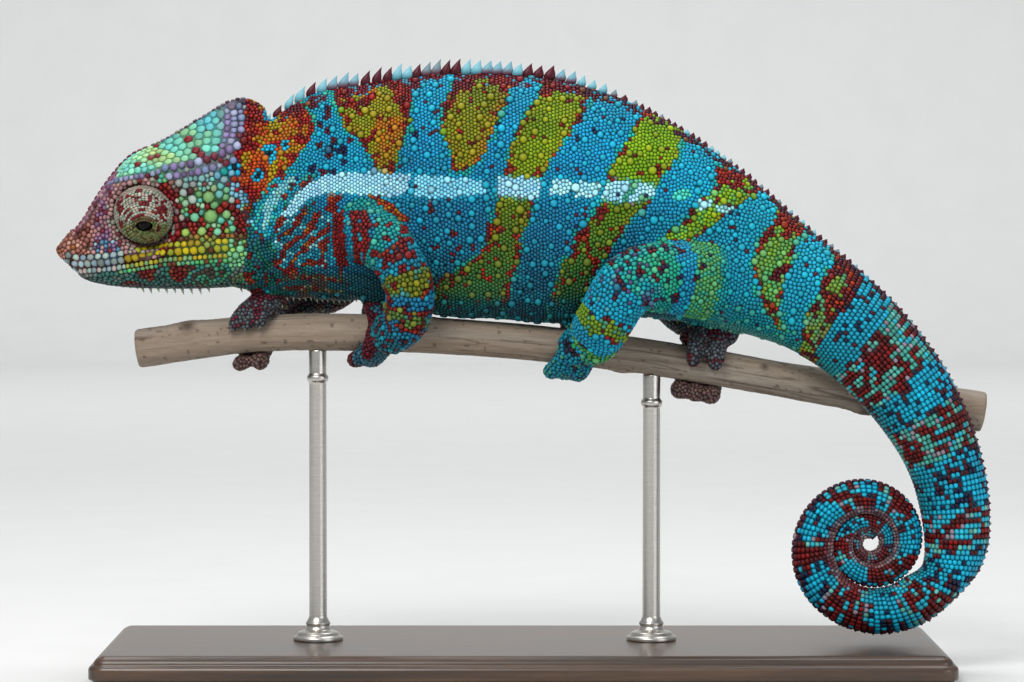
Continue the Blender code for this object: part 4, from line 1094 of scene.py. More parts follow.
def limb_colours(p, lab, rnd, name):
    t, foot = lab["share"], lab["foot"]
    n2, n3, n6 = noise(p, 1.9, 31), noise(p, 3.1, 32), noise(p, 6.0, 33)
    t = t + n3 * 0.018
    red = pick(rnd[:, 0], (3, (106, 20, 26)), (2, (84, 16, 24)), (1, (132, 40, 28)))
    q = dict(t=t, p=p, foot=foot, rnd=rnd, red=red, n2=n2, n3=n3, n6=n6)
    c = forelimb(**q) if name.startswith("fore") else hindlimb(**q)
    # Painted shade: the far limbs are mixed darker and duller towards the hand and foot, on the far side of
    # the body.
    if name == "fore_right":
        c = mix(c, pick(rnd[:, 0], (2, (70, 42, 48)), (1, (50, 60, 64))), smooth((t - 0.4) / 0.2) * 0.85)
    elif name == "hind_right":
        c = mix(c, pick(rnd[:, 0], (2, (36, 52, 58)), (1, (56, 36, 44))), smooth((t - 0.6) / 0.15) * 0.85)
    c = put(c, foot > 0, palm_colours(name, **q))
    return c * (1 + 0.06 * n6)[:, None]


def eye_centre(side):
    return np.array([EYE_CENTRE[0], side * EYE_CENTRE[1], EYE_CENTRE[2]])


def gaze(side):
    down = math.radians(GAZE_DOWN_DEG)
    return unit(np.array([0.10, side * math.cos(down), -math.sin(down) - 0.04]))


def markings(p, lab, rnd):
    """Display colours, 0 to 255, of the skin at each point."""
    c = np.zeros((len(p), 3))
    part = lab["part"]
    edge = np.interp(p[:, 2], *zip(*HEAD_EDGE))
    in_head = (part < 2) & (p[:, 0] < edge + noise(p, 2.4, 41) * 0.9)
    body = (part < 2) & ~in_head
    if body.any():
        sub = {k: v[body] for k, v in lab.items()}
        from_head = part[body] == 1
        sub["along"] = np.where(from_head, np.maximum(p[body, 0] + 82.0, 0.5) * 0.95, sub["along"])
        c[body] = body_colours(p[body], sub, rnd[body])
    if in_head.any():
        sub = {k: v[in_head] for k, v in lab.items()}
        from_body = part[in_head] == 0
        sub["turn"] = np.where(from_body, 0.25, sub["turn"])
        c[in_head] = head_colours(p[in_head], sub, rnd[in_head])
    for i, name in enumerate(PARTS[2:], 2):
        m = part == i
        if m.any():
            c[m] = limb_colours(p[m], {k: v[m] for k, v in lab.items()}, rnd[m], name)
    upper = (body | ((part == 2) | (part == 3)) & (lab["share"] < 0.33)) & (p[:, 2] > 112)
    c[upper] = shoulder_folds(p[upper], c[upper], rnd[upper])
    x, z = p[:, 0], p[:, 2]
    for line in PALE_STREAKS:
        off, half = near_line(line, x, z)
        on = (part < 2) & (off + 0.5 * noise(p, 1.8, 42) < half) & (rnd[:, 1] < 0.85)
        c[on] = pick(rnd[on, 0], (3, (118, 166, 186)), (2, (142, 178, 196)), (1, (96, 140, 170)))
    return np.clip(c, 3, 250)


def linear(c):
    c = np.clip(np.asarray(c, float) / 255, 0, 1)
    return np.where(c <= 0.04045, c / 12.92, ((c + 0.055) / 1.055) ** 2.4)


# ------------------------------------------------------------------ the skin
HIP, HIP_REACH = np.array([66.0, 9.0, 107.0]), [13.0, 9.0, 15.0]


def nostril(side, y):
    return np.array([-121.2, side * y, 118.2])


def soften_joins(verts, edges, part):
    """Smooths the skin where limbs leave the body, over the hips and behind the head."""
    limb_tree = tree_of(*merged([s for s in SHEETS if s.part not in ("body", "head") and not s.foot]))
    index = np.nonzero((verts[:, 2] > 95) & span(verts[:, 0], -70, 75))[0]
    to_body, to_limb = (nearest(tree, verts[index], 12)[3] for tree in (BODY_TREE, limb_tree))
    verts = relax(verts, edges, np.full(len(verts), 0.5), 2)
    join = np.zeros(len(verts))
    join[index] = np.clip(1.25 - np.maximum(to_body, to_limb) / 4.2, 0, 1)
    verts = relax(verts, edges, join * 0.9, 26)
    from_hip = np.linalg.norm((folded(verts) - HIP) / HIP_REACH, axis=1)
    hip_skin = (part != 1) & (verts[:, 2] > 92)
    verts = relax(verts, edges, 0.95 * smooth((1.25 - from_hip) / 0.6) * hip_skin, 90)
    nape = np.clip(1 - np.abs(verts[:, 0] + 77 - (verts[:, 2] - 130) * 0.08) / 7, 0, 1) * (part < 2)
    nape *= np.clip((152 - verts[:, 2]) / 6, 0, 1)
    return relax(verts, edges, nape * 0.8, 14)


def shape_skin(verts, edges, lab):
    """Softens the joins of the limbs, and gives the head and body their folds."""
    part = lab["part"]
    verts = soften_joins(verts, edges, part)
    fold = folded(verts)
    normal = normals_of(verts, SKIN_QUADS)
    trunk = part == 0
    push = np.where(trunk, 0.22 * noise(fold, 9.0, 51) + 0.12 * noise(fold, 4.5, 52), 0)
    # folds of the throat, and of the skin behind the arm
    x, z = verts[:, 0], verts[:, 2]
    low = smooth((128 - z) / 8) * smooth((x + 84) / 5) * smooth((-52 - x) / 8)
    push -= 0.5 * low * smooth(np.sin(2 * np.pi * (fold[:, 2] - 0.55 * fold[:, 0]) / 5.2) * 0.9)
    arm = smooth((x + 58) / 4) * smooth((-22 - x) / 6) * smooth((116 - z) / 4) * trunk
    push -= 0.45 * arm * smooth(np.sin(2 * np.pi * (fold[:, 2] + 0.2 * fold[:, 0]) / 3.6))
    # crests beside and over the roof, hollows between and below them
    head = (part == 1) & (x < -76)
    u = head_u(lab)
    push += head * 0.55 * np.exp(-(((u - 1.0) / 0.14) ** 2)) * smooth((-80 - x + 6) / 4)
    push += head * 0.45 * np.exp(-((u / 0.12) ** 2)) * (x > -127)
    push -= head * 0.75 * np.sin(np.pi * np.clip(u, 0, 1)) * smooth((x + 106) / 6)
    push -= head * 0.6 * np.exp(-(((u - 1.42) / 0.22) ** 2)) * smooth((x + 97) / 4)
    # the blunt snout, and the lips
    tip = smooth((-124.5 - x) / 4) * head
    verts[:, 2] = 116.8 + (z - 116.8) * (1 + np.where(z > 116.8, 0.42, 0.1) * tip)
    verts[:, 1] *= 1 + 0.35 * tip
    verts[:, 0] += 1.7 * smooth((-120 - x) / 8) * smooth((mouth_z(x) + 0.2 - z) / 1.6) * head
    verts[:, 0] += 1.7 * smooth((-126.2 - x) / 3) * smooth((117.6 - z) / 2.6) * head
    lip = np.abs(z - mouth_z(x))
    push -= head * 0.5 * np.exp(-((lip / 0.7) ** 2)) * (x < -81.5)
    push += head * 0.25 * np.exp(-(((lip - 2.0) / 0.9) ** 2)) * (x < -82)
    verts = verts + normal * push[:, None]
    # hollows and rims of the eyes, and the nostrils
    for side in (-1, 1):
        g = gaze(side)
        q = verts - eye_centre(side)
        t = q @ g
        r = np.linalg.norm(q - t[:, None] * g, axis=1)
        own = (verts[:, 1] * side > 0) & (t > -4) & head
        deep = own * smooth((8.85 - r) / 0.6) * np.maximum(t + 1.0, 0)
        rim = own * 0.8 * np.exp(-(((r - 9.5) / 0.8) ** 2))
        verts = verts + g * (rim - deep)[:, None]
        d = np.linalg.norm(verts - nostril(side, 4.9), axis=1)
        pit = 0.8 * smooth((1.5 - d) / 1.2) - 0.35 * np.exp(-(((d - 1.9) / 0.6) ** 2))
        verts = verts - normal * pit[:, None]
    return verts


def normals_of(verts, quads):
    q = np.array([f if len(f) == 4 else (*f, f[-1]) for f in quads])
    across = np.cross(verts[q[:, 2]] - verts[q[:, 0]], verts[q[:, 3]] - verts[q[:, 1]])
    out = np.zeros_like(verts)
    for k in range(4):
        for axis in range(3):
            out[:, axis] += np.bincount(q[:, k], across[:, axis], len(verts))
    return unit(out)


def turret_grid(side, rows=46, sides=72):
    """The eye turret's skin: a dome with fine rings, and a lid turned inward at its opening."""
    a = np.linspace(0, 2 * np.pi, sides, endpoint=False)
    rings = [turret_point(side, np.full(sides, i / (rows - 1)), a) for i in range(rows)]
    return [rings[0] - gaze(side) * drop for drop in (0.85, 0.4, 0.12)] + rings


def turret_frame(side):
    g = gaze(side)
    ahead = np.array([-1.0, 0, 0])
    down = np.cross(g, ahead)
    if down[2] > 0:
        down = -down
    return g, ahead, down


def around_gaze(side, theta, a):
    """Directions at an angle theta from the gaze, turned by a round it."""
    g, ahead, down = turret_frame(side)
    flat = np.cos(a)[..., None] * ahead + np.sin(a)[..., None] * down
    return np.cos(theta)[..., None] * g + np.sin(theta)[..., None] * flat


def turret_point(side, t, a):
    """A point of the turret: t is 0 at the opening and 1 at its root; a turns round the gaze."""
    radius = TURRET_RADIUS + INSET
    opening = OPEN_ALONG * OPEN_ACROSS / np.hypot(OPEN_ACROSS * np.cos(a), OPEN_ALONG * np.sin(a))
    first = np.arcsin(opening / radius)
    last = math.radians(TURRET_ROOT_DEG)
    theta = first + (last - first) * t
    past = theta - first
    wave = 0.07 * np.cos(theta * 2 * np.pi / 0.19) * smooth(past / 0.2)
    lid = 0.16 * np.exp(-(((past - 0.07) / 0.06) ** 2)) - 0.12 * np.exp(-(((past - 0.2) / 0.07) ** 2))
    reach = radius + wave + lid
    return eye_centre(side) + reach[..., None] * around_gaze(side, theta, a)


SKIN_VERTS, SKIN_QUADS = remeshed(*merged(SHEETS)[:2], VOXEL)
SKIN_EDGES = edges_of(SKIN_QUADS)
SKIN_LAB = about(SKIN_VERTS)
SKIN_VERTS = shape_skin(SKIN_VERTS, SKIN_EDGES, SKIN_LAB)
REMESH_COUNT = len(SKIN_VERTS)


def tube_quads(rows, sides, start=0):
    """Quads between rings of points that follow each other."""
    row = start + np.arange(rows - 1)[:, None] * sides
    i, j = row + np.arange(sides), row + (np.arange(sides) + 1) % sides
    return np.stack([i, j, j + sides, i + sides], -1).reshape(-1, 4)


def halves(quads):
    """The quads as two sets of triangles."""
    return [quads[:, [0, 1, 2]], quads[:, [0, 2, 3]]]


def joined_skin():
    """The remeshed skin with the tail's tube, sunk a little where it begins, and the two turrets."""
    verts, faces, start = [SKIN_VERTS], list(SKIN_QUADS), REMESH_COUNT
    tail, s = TAIL_SHEET.points, TAIL_SHEET.along
    dip = 0.5 * smooth((TAIL_FROM + 6 - s) / 5)
    middle = BODY.place(BODY.at(s))
    tail = tail - unit(tail - middle[:, None]) * dip[:, None, None]
    for rings in (tail, np.array(turret_grid(-1)), np.array(turret_grid(1))):
        rows, sides = rings.shape[:2]
        verts.append(rings.reshape(-1, 3))
        faces += [tuple(q) for q in tube_quads(rows, sides, start)]
        faces.append(tuple(range(start, start + sides)))
        faces.append(tuple(range(start + (rows - 1) * sides, start + rows * sides))[::-1])
        start += rows * sides
    return np.concatenate(verts), faces


ALL_VERTS, ALL_FACES = joined_skin()
TURRETS_FROM = REMESH_COUNT + TAIL_SHEET.round.size  # the first vertex of the turrets
SKIN_TREE = tree_of(ALL_VERTS, ALL_FACES)
SKIN_NORMALS = normals_of(ALL_VERTS, [f[:4] for f in ALL_FACES])


# ------------------------------------------------------------------ scales
SIDES = 7  # of each scale
SCALES_PER_PIECE = 4200
HEAD_END_X = -78.5
NEIGHBOUR_REACH, NEIGHBOUR_COUNT = 3.4, 12


def spaced_ring(points_at, s, pitch, shift):
    """Angles round a ring at equal distances, starting from the back."""
    a = np.linspace(0, 2 * np.pi, 181)
    ring = points_at(np.full(181, s), a)
    steps = np.concatenate([[0], np.cumsum(np.linalg.norm(np.diff(ring, axis=0), axis=1))])
    count = max(int(round(steps[-1] / pitch)), 5)
    return np.interp((np.arange(count) + shift) * steps[-1] / count % steps[-1], steps, a)


def lattice(points_at, first, last, step, pitch):
    """Rows of scales in brick order: places and both radii."""
    s_list, a_list, gap, row = [], [], [], 0
    s = first
    while s < last:
        a = spaced_ring(points_at, s, pitch(s), 0.5 * (row % 2))
        s_list.append(np.full(len(a), s))
        a_list.append(a)
        gap.append(np.full(len(a), step(s)))
        s += step(s)
        row += 1
    s, a, gap = (np.concatenate(v) for v in (s_list, a_list, gap))
    s = s + RNG.normal(0, 0.05, len(s)) * gap
    p = points_at(s, a)
    ahead = (points_at(s + 0.25, a) - points_at(s - 0.25, a)) / 0.5
    local = np.linalg.norm(ahead, axis=1) * gap
    pitches = np.array([pitch(v) for v in s])
    return dict(p=p, r1=local / 1.5, r2=pitches / 1.732)


def body_pitch(s):
    return float(np.interp(s, [0, 24, 44, 60, 100, 130, 165, 190, 300, 340, 380, 416, 440],
                           [0.97, 0.96, 1.02, 1.07, 1.06, 1.04, 1.14, 1.38, 1.42, 1.3, 1.1, 0.85, 0.75]))


def body_step(s):
    return (0.83 if s < TAIL_START else 1.02) * body_pitch(s)


def tail_rows():
    """Places of the tail's rows along its midline."""
    rows = [TAIL_START]
    while rows[-1] + body_step(rows[-1]) < BODY.length - 0.4:
        rows.append(rows[-1] + body_step(rows[-1]))
    return np.array(rows)


TAIL_ROWS = tail_rows()


def tail_lattice():
    """Straight rows round the tail; where the coil's inner side crowds them every other row ends."""
    p, r1, r2 = [], [], []
    for k, s in enumerate(TAIL_ROWS):
        a = spaced_ring(body_skin, s, 0.93 * body_pitch(s), 0.0)
        full = np.full(len(a), s)
        here = body_skin(full, a)
        ahead = (body_skin(full + 0.25, a) - body_skin(full - 0.25, a)) / 0.5
        local = np.linalg.norm(ahead, axis=1) * body_step(s)
        keep = (local > 0.62) | (k % 2 == 0)
        local = np.where(local > 0.62, local, 2 * local)
        keep &= (local > 0.5) | (k % 4 == 0)
        p.append(here[keep])
        r1.append(local[keep])
        r2.append(np.full(keep.sum(), 0.93 * body_pitch(s)))
    return [np.concatenate(v) for v in (p, r1, r2)]


def gather():
    sets = []
    for key in LIMB_ROWS:
        side = -1 if key.endswith("left") else 1
        track = LIMBS[key]
        first = 12.0 if key.startswith("hind") else 4.0
        sets.append(lattice(lambda s, a: limb_points(track, s, a, side, INSET), first, track.length - 1.0,
                            lambda s: 1.0, lambda s: 1.18))
    sets.append(lattice(body_skin, 5.0, TAIL_START - 1.0, body_step, body_pitch))
    return {k: np.concatenate([rows[k] for rows in sets]) for k in sets[0]}


class Spread:
    """Keeps points apart, by a grid of cells."""

    def __init__(self, cell=2.0):
        self.cell, self.cells = cell, {}

    def free(self, p, r):
        cx, cy, cz = (int(math.floor(v / self.cell)) for v in p)
        for i in (cx - 1, cx, cx + 1):
            for j in (cy - 1, cy, cy + 1):
                for k in (cz - 1, cz, cz + 1):
                    for q, other in self.cells.get((i, j, k), ()):
                        limit = 0.5 * (r + other)
                        dx, dy, dz = p[0] - q[0], p[1] - q[1], p[2] - q[2]
                        if dx * dx + dy * dy + dz * dz < limit * limit:
                            return False
        return True

    def add(self, p, r):
        key = tuple(int(math.floor(v / self.cell)) for v in p)
        self.cells.setdefault(key, []).append((p, r))


def close_pairs(points, reach):
    """Each pair of points nearer than reach, once."""
    cell = np.floor(points / reach).astype(np.int64)
    cell -= cell.min(0) - 1
    size = cell.max(0) + 2
    key = (cell[:, 0] * size[1] + cell[:, 1]) * size[2] + cell[:, 2]
    order = np.argsort(key, kind="stable")
    ranked = key[order]
    near_by = (-1, 0, 1)
    steps = {(dx * size[1] + dy) * size[2] + dz for dx in near_by for dy in near_by for dz in near_by}
    firsts, seconds = [], []
    for step in sorted(step for step in steps if step >= 0):
        low = np.searchsorted(ranked, ranked + step, "left")
        count = np.searchsorted(ranked, ranked + step, "right") - low
        a = np.repeat(np.arange(len(points)), count)
        b = np.repeat(low, count) + np.arange(count.sum()) - np.repeat(np.cumsum(count) - count, count)
        if step == 0:
            a, b = a[b > a], b[b > a]
        firsts.append(order[a])
        seconds.append(order[b])
    i, j = np.concatenate(firsts), np.concatenate(seconds)
    near = np.linalg.norm(points[i] - points[j], axis=1) < reach
    return i[near], j[near]


def settle(points, size, loose, times):
    """Pushes scales apart over the skin until each has its own room."""
    points = points.copy()
    normal = nearest(SKIN_TREE, points)[1]
    for turn in range(times):
        if turn % 4 == 0:
            i, j = close_pairs(points, 1.12 * size.max())
            facing = np.sum(normal[i] * normal[j], 1) > 0.1
            i, j = i[facing], j[facing]
        d = points[j] - points[i]
        far = np.linalg.norm(d, axis=1) + 1e-9
        push = np.clip(0.54 * (size[i] + size[j]) - far, 0, None) * 0.42
        share = loose[i] + loose[j] + 1e-9
        for who, sign, weight in ((i, -1, loose[i] / share), (j, 1, loose[j] / share)):
            step = d * (sign * push * weight / far)[:, None]
            for axis in range(3):
                points[:, axis] += np.bincount(who, step[:, axis], len(points))
        if turn % 4 == 3 or turn == times - 1:
            moved = loose > 0
            points[moved], normal[moved] = nearest(SKIN_TREE, points[moved])[:2]
    return points


def neighbours(points, normal, reach, most):
    """A table of the nearest scales round each, -1 where there are none."""
    i, j = close_pairs(points, reach)
    d = points[j] - points[i]
    far = np.linalg.norm(d, axis=1)
    same = (np.sum(normal[i] * normal[j], 1) > 0.1) & (np.abs(np.sum(d * normal[i], 1)) < 0.7 * far)
    i, j, far = i[same], j[same], far[same]
    i, j, far = np.concatenate([i, j]), np.concatenate([j, i]), np.concatenate([far, far])
    order = np.lexsort((far, i))
    i, j, far = i[order], j[order], far[order]
    rank = np.arange(len(i)) - np.searchsorted(i, i, "left")
    table = np.full((len(points), most), -1)
    gaps = np.full((len(points), most), np.nan)
    keep = rank < most
    table[i[keep], rank[keep]] = j[keep]
    gaps[i[keep], rank[keep]] = far[keep]
    return table, gaps


def outlines(points, normal, along, radius, table, groove, room):
    """Each scale's own outline: how far it reaches in each direction before it meets the next."""
    side = np.cross(normal, along)
    turn = 2 * np.pi * np.arange(SIDES) / SIDES
    reach = (radius * room)[:, None] * np.ones(SIDES)
    for k in range(table.shape[1]):
        other = np.maximum(table[:, k], 0)
        d = points[other] - points
        a, b = np.sum(d * along, 1), np.sum(d * side, 1)
        far = np.hypot(a, b) + 1e-9
        half = far * radius / (radius + radius[other]) - groove
        facing = (a / far)[:, None] * np.cos(turn) + (b / far)[:, None] * np.sin(turn)
        limit = np.where(facing > 0.2, np.maximum(half, 0.12)[:, None] / np.maximum(facing, 0.2), 1e9)
        reach = put(reach, table[:, k] >= 0, np.minimum(reach, limit))
    return np.minimum(reach, 0.4 * reach + 0.3 * (np.roll(reach, 1, 1) + np.roll(reach, -1, 1)) + 0.03)


def head_pitch(p, u):
    """Distance between scales of the head, in mm."""
    x, z = p[:, 0], p[:, 2]
    fold = folded(p)
    size = np.full(len(p), 1.25)
    over = (z > np.interp(x, *zip(*BROW))) & (x < -96.5) & (x > -116)
    size = np.where(over, 1.55, size)
    size = np.where((u < 1.0) & (x > -114), 1.85, size)
    size = np.where((u < 1.0) & (x > -101), 2.35, size)
    size = np.where(x < -117.5, 1.1 + 0.42 * noise(fold, 1.8, 62), size)
    size = np.where((x < -110) & (x >= -117.5), 1.12, size)
    temple = (u >= 1.05) & (u < 3) & (x > -99)
    size = np.where(temple & (noise(fold, 3.0, 61) > 0.32), 2.0, size)
    below = z < mouth_z(x)
    size = np.where(below, 1.2, size)
    return np.where(below & (u > 3.8), 1.15, size)


def bead_line(points, pitch):
    """Points at equal steps on a polyline."""
    points = np.array(points, float)
    steps = np.concatenate([[0], np.cumsum(np.linalg.norm(np.diff(points, axis=0), axis=1))])
    count = max(int(steps[-1] / pitch), 1)
    at = np.linspace(0, steps[-1], count + 1)
    return np.stack([np.interp(at, steps, points[:, k]) for k in range(3)], 1)


def head_line(first_x, last_x, u, side):
    """A line along the head's surface at one u."""
    s = np.linspace(head_s(first_x), head_s(last_x), 60)
    return head_points(s, np.full(60, u if side < 0 else -u), INSET)


def head_s(x):
    return x - HEAD_ROWS[0][0]


LILAC = (
    (124, 124, 152), (138, 142, 172), (106, 90, 122), (152, 158, 182), (116, 130, 158), (92, 40, 52),
    (130, 118, 156))
PINKISH = ((130, 98, 112), (108, 72, 90), (150, 122, 130), (96, 44, 58))
YELLOW = ((170, 152, 54), (176, 164, 70), (154, 132, 42), (150, 154, 72))
FRONT_LIP = ((128, 148, 160), (150, 166, 172), (120, 132, 130), (160, 176, 170))
LOWER_LIP = ((150, 148, 74), (126, 150, 90), (108, 140, 100), (156, 138, 62))
FRONT_JAW = ((170, 158, 156), (130, 146, 150), (150, 170, 160))
GREEN_JAW = ((96, 168, 110), (84, 150, 120), (110, 60, 40), (130, 170, 120))
GREY_RIDGE = ((120, 110, 130), (150, 146, 160), (96, 70, 84), (150, 150, 110))
PINK_RIDGE = ((134, 78, 104), (108, 48, 66), (150, 110, 130))
CASQUE_EDGES = [  # the back edge of the casque: places x, z, then pitch, radii, height and colours
    ([(-80.4, 144.6), (-79.2, 147.6), (-78.4, 151.0), (-78.4, 154.6), (-79.2, 157.6)], 1.7, 0.95, 1.0, 0.5,
     LILAC),
    ([(-82.2, 144.9), (-81.1, 147.8), (-80.4, 151.2), (-80.6, 155.6)], 1.6, 0.9, 0.9, 0.4, LILAC),
    ([(-83.6, 146.4), (-82.7, 149.0), (-82.2, 152.2), (-82.6, 156.2)], 1.7, 0.8, 0.85, 0.3, LILAC),
]


def special_rows():
    """Rows that the head's face is read by: line, pitch, radii along and across, height, colours."""
    mouth = [(x, float(mouth_z(x))) for x in np.linspace(-128.6, -82.5, 50)]
    upper = [(x, z + 1.15) for x, z in mouth]
    split = [k for k, q in enumerate(upper) if q[0] > -112][0]

    def beside(rise, first, last):
        return [(x, z + rise) for x, z in mouth if first < x < last]

    lips = [
        (upper[: split + 1], 1.9, 1.05, 0.9, 0.38, FRONT_LIP),
        (beside(2.9, -127, -111), 2.0, 1.05, 0.9, 0.4, FRONT_LIP),
        ([(x, z + 0.15) for x, z in upper[split:]], 2.1, 1.2, 1.05, 0.4, YELLOW),
        (beside(3.05, -107, 0), 1.8, 1.05, 0.95, 0.36, YELLOW),
        (beside(-1.0, -110, 0), 1.35, 0.78, 0.62, 0.35, LOWER_LIP),
        (beside(-0.95, -200, -110), 1.4, 0.8, 0.6, 0.3, FRONT_JAW),
        (beside(-2.2, -112, 0), 1.25, 0.7, 0.62, 0.32, GREEN_JAW),
    ]
    rows = []
    for side in (-1, 1):
        rows += [
            (head_line(-99, -79.5, 1.0, side), 2.2, 1.3, 1.35, 0.85, LILAC),
            (head_line(-98, -80.5, 1.18, side), 2.0, 1.1, 1.1, 0.6, LILAC),
            (side_cast([q for q in BROW if q[0] >= -116], side), 1.5, 0.85, 0.8, 0.5, LILAC),
            (head_line(-125, -114, 1.0, side), 1.5, 0.85, 0.8, 0.45, PINKISH),
        ]
        rows += [(side_cast(line, side), *looks) for line, *looks in CASQUE_EDGES + lips]
    top = [(x, HEAD.at(head_s(x))[1] + 1.0) for x in np.linspace(-126, -78.2, 60)]
    rows.append((top_cast([q for q in top if q[0] > -104]), 1.5, 0.82, 0.8, 0.55, GREY_RIDGE))
    rows.append((top_cast([q for q in top if q[0] <= -104]), 1.6, 0.88, 0.9, 0.55, PINK_RIDGE))
    return rows


def laid(starts, direction):
    """Where rays from the starts meet the skin."""
    hits = [SKIN_TREE.ray_cast(start, direction)[0] for start in starts]
    return [tuple(hit) for hit in hits if hit is not None]


def side_cast(points, side):
    """The points (x, z) laid on the skin from the side."""
    return laid([(x, side * 40, z) for x, z in points], (0, -side, 0))


def top_cast(points):
    return laid([(x, 0, z + 20) for x, z in points], (0, 0, -1))


TUBERCLES = [  # single large scales of the cheek and temple: x, z, radius, colour
    (-86.6, 126.9, 2.1, (134, 178, 118)), (-87.2, 132.2, 1.85, (138, 178, 122)),
    (-91.6, 131.6, 1.3, (160, 176, 166)),
    (-91.0, 126.6, 1.4, (112, 168, 138)), (-82.2, 127.4, 1.3, (128, 168, 118)),
    (-84.2, 133.0, 1.2, (112, 168, 164)),
    (-89.0, 122.8, 1.25, (134, 166, 104)), (-84.6, 122.6, 1.15, (112, 164, 136)),
    (-93.6, 122.4, 1.2, (136, 162, 92)),
    (-94.2, 133.4, 1.15, (164, 178, 172)), (-80.8, 131.4, 1.0, (172, 190, 184)),
    (-83.0, 137.0, 1.1, (140, 172, 176)),
    (-96.0, 128.2, 1.0, (140, 112, 120)), (-80.6, 123.6, 0.95, (110, 170, 136)),
    (-87.4, 118.9, 1.0, (150, 160, 92)),
]


BLOTCHES = [  # dark red on the turret: forward, up, half sizes
    (-0.9, 5.6, 1.3, 1.5), (-6.0, 2.4, 1.2, 2.4), (5.6, 0.8, 1.2, 2.9), (2.6, 4.6, 1.2, 0.7),
    (-3.6, 4.6, 0.9, 0.6),
    (-3.4, -0.6, 0.9, 0.8), (-5.9, -2.9, 0.8, 1.0), (4.6, -3.8, 0.7, 0.9), (0.5, 2.6, 1.6, 0.5),
]


def turret_colours(here, ring, share, rnd):
    """Grey-green with dark red blotches and fine lines above, olive below, pale at the rim."""
    x, z = here[:, 0] - EYE_CENTRE[0], here[:, 2] - EYE_CENTRE[2]
    wave = noise(here, 1.3, 71)
    c = pick(rnd[:, 0], (3, (158, 160, 148)), (2, (172, 164, 152)), (2, (134, 148, 134)),
             (1, (156, 134, 126)))
    low = pick(rnd[:, 0], (3, (116, 116, 78)), (2, (108, 126, 88)), (1, (80, 60, 46)))
    c = mix(c, low, smooth((-1.4 - z + wave) / 2.6) * smooth((0.62 - share) / 0.3))
    red = pick(rnd[:, 1], (3, (98, 24, 30)), (2, (80, 20, 26)), (1, (124, 48, 44)))
    lines = (ring % 2 == 0) & (np.abs(x) < 5.2) & span(z, -2.2, 4.6) & (rnd[:, 2] < 0.5) & (share < 0.6)
    c = put(c, lines, red)
    for bx, bz, wide, tall in BLOTCHES:
        inside = ((x - bx) / wide) ** 2 + ((z - bz) / tall) ** 2 + wave * 0.8 < 1
        c = put(c, inside & (rnd[:, 2] < 0.86), red)
    if ring < 2:
        c = pick(rnd[:, 0], (3, (112, 124, 78)), (2, (92, 104, 64)), (1, (60, 48, 34)))
        c = mix(c, (70, 40, 32), 0.6 * (z > -2.4))
    return mix(c, (158, 140, 132), 0.55 * float(share > 0.72))


def eye_rows(side):
    """Rings of small scales on a turret: places, directions, both radii, height and colour."""
    p, t, r1, r2, hh, tint = [], [], [], [], [], []
    rows = 17
    radius = TURRET_RADIUS + INSET
    for k in range(rows):
        share = (k + 0.35) / rows * 0.86
        theta = math.radians(17 + share * 95)
        length = 2 * math.pi * radius * math.sin(theta)
        count = int(round(length / (0.98 if k else 0.86)))
        a = (np.arange(count) + 0.5 * (k % 2)) * 2 * np.pi / count
        here = turret_point(side, np.full(count, share), a)
        ahead = turret_point(side, np.full(count, share), a + 0.02)
        p.append(here)
        t.append(unit(ahead - here))
        r1.append(np.full(count, length / count / 1.66))
        r2.append(np.full(count, 0.43 if k else 0.36))
        hh.append(np.full(count, 0.26 if k else 0.34))
        tint.append(turret_colours(here, k, share, np.random.default_rng(100 + k).random((count, 3))))
    return [np.concatenate(v) for v in (p, t, r1, r2, hh, tint)]


def tubercle_size(p, lab):
    """Diameter wanted of a large scale among the granules, at each point; 0 for none."""
    part, along = lab["part"], lab["along"]
    trunk = part == 0
    size = np.where(trunk, np.where(along < 30, 1.5, 1.82), 0.0)
    calm = trunk & (p[:, 0] < -38) & (p[:, 2] < 138) & (p[:, 2] > 106)
    size = np.where(calm | ((part >= 2) & (lab["share"] < 0.3) & (p[:, 0] < 0)), 0.0, size)
    size = np.where(trunk & (along > 175), 1.9, size)
    size = np.where(trunk & (along > 290), 0.0, size)
    return np.where((part >= 2) & (lab["foot"] == 0), 1.6, size)


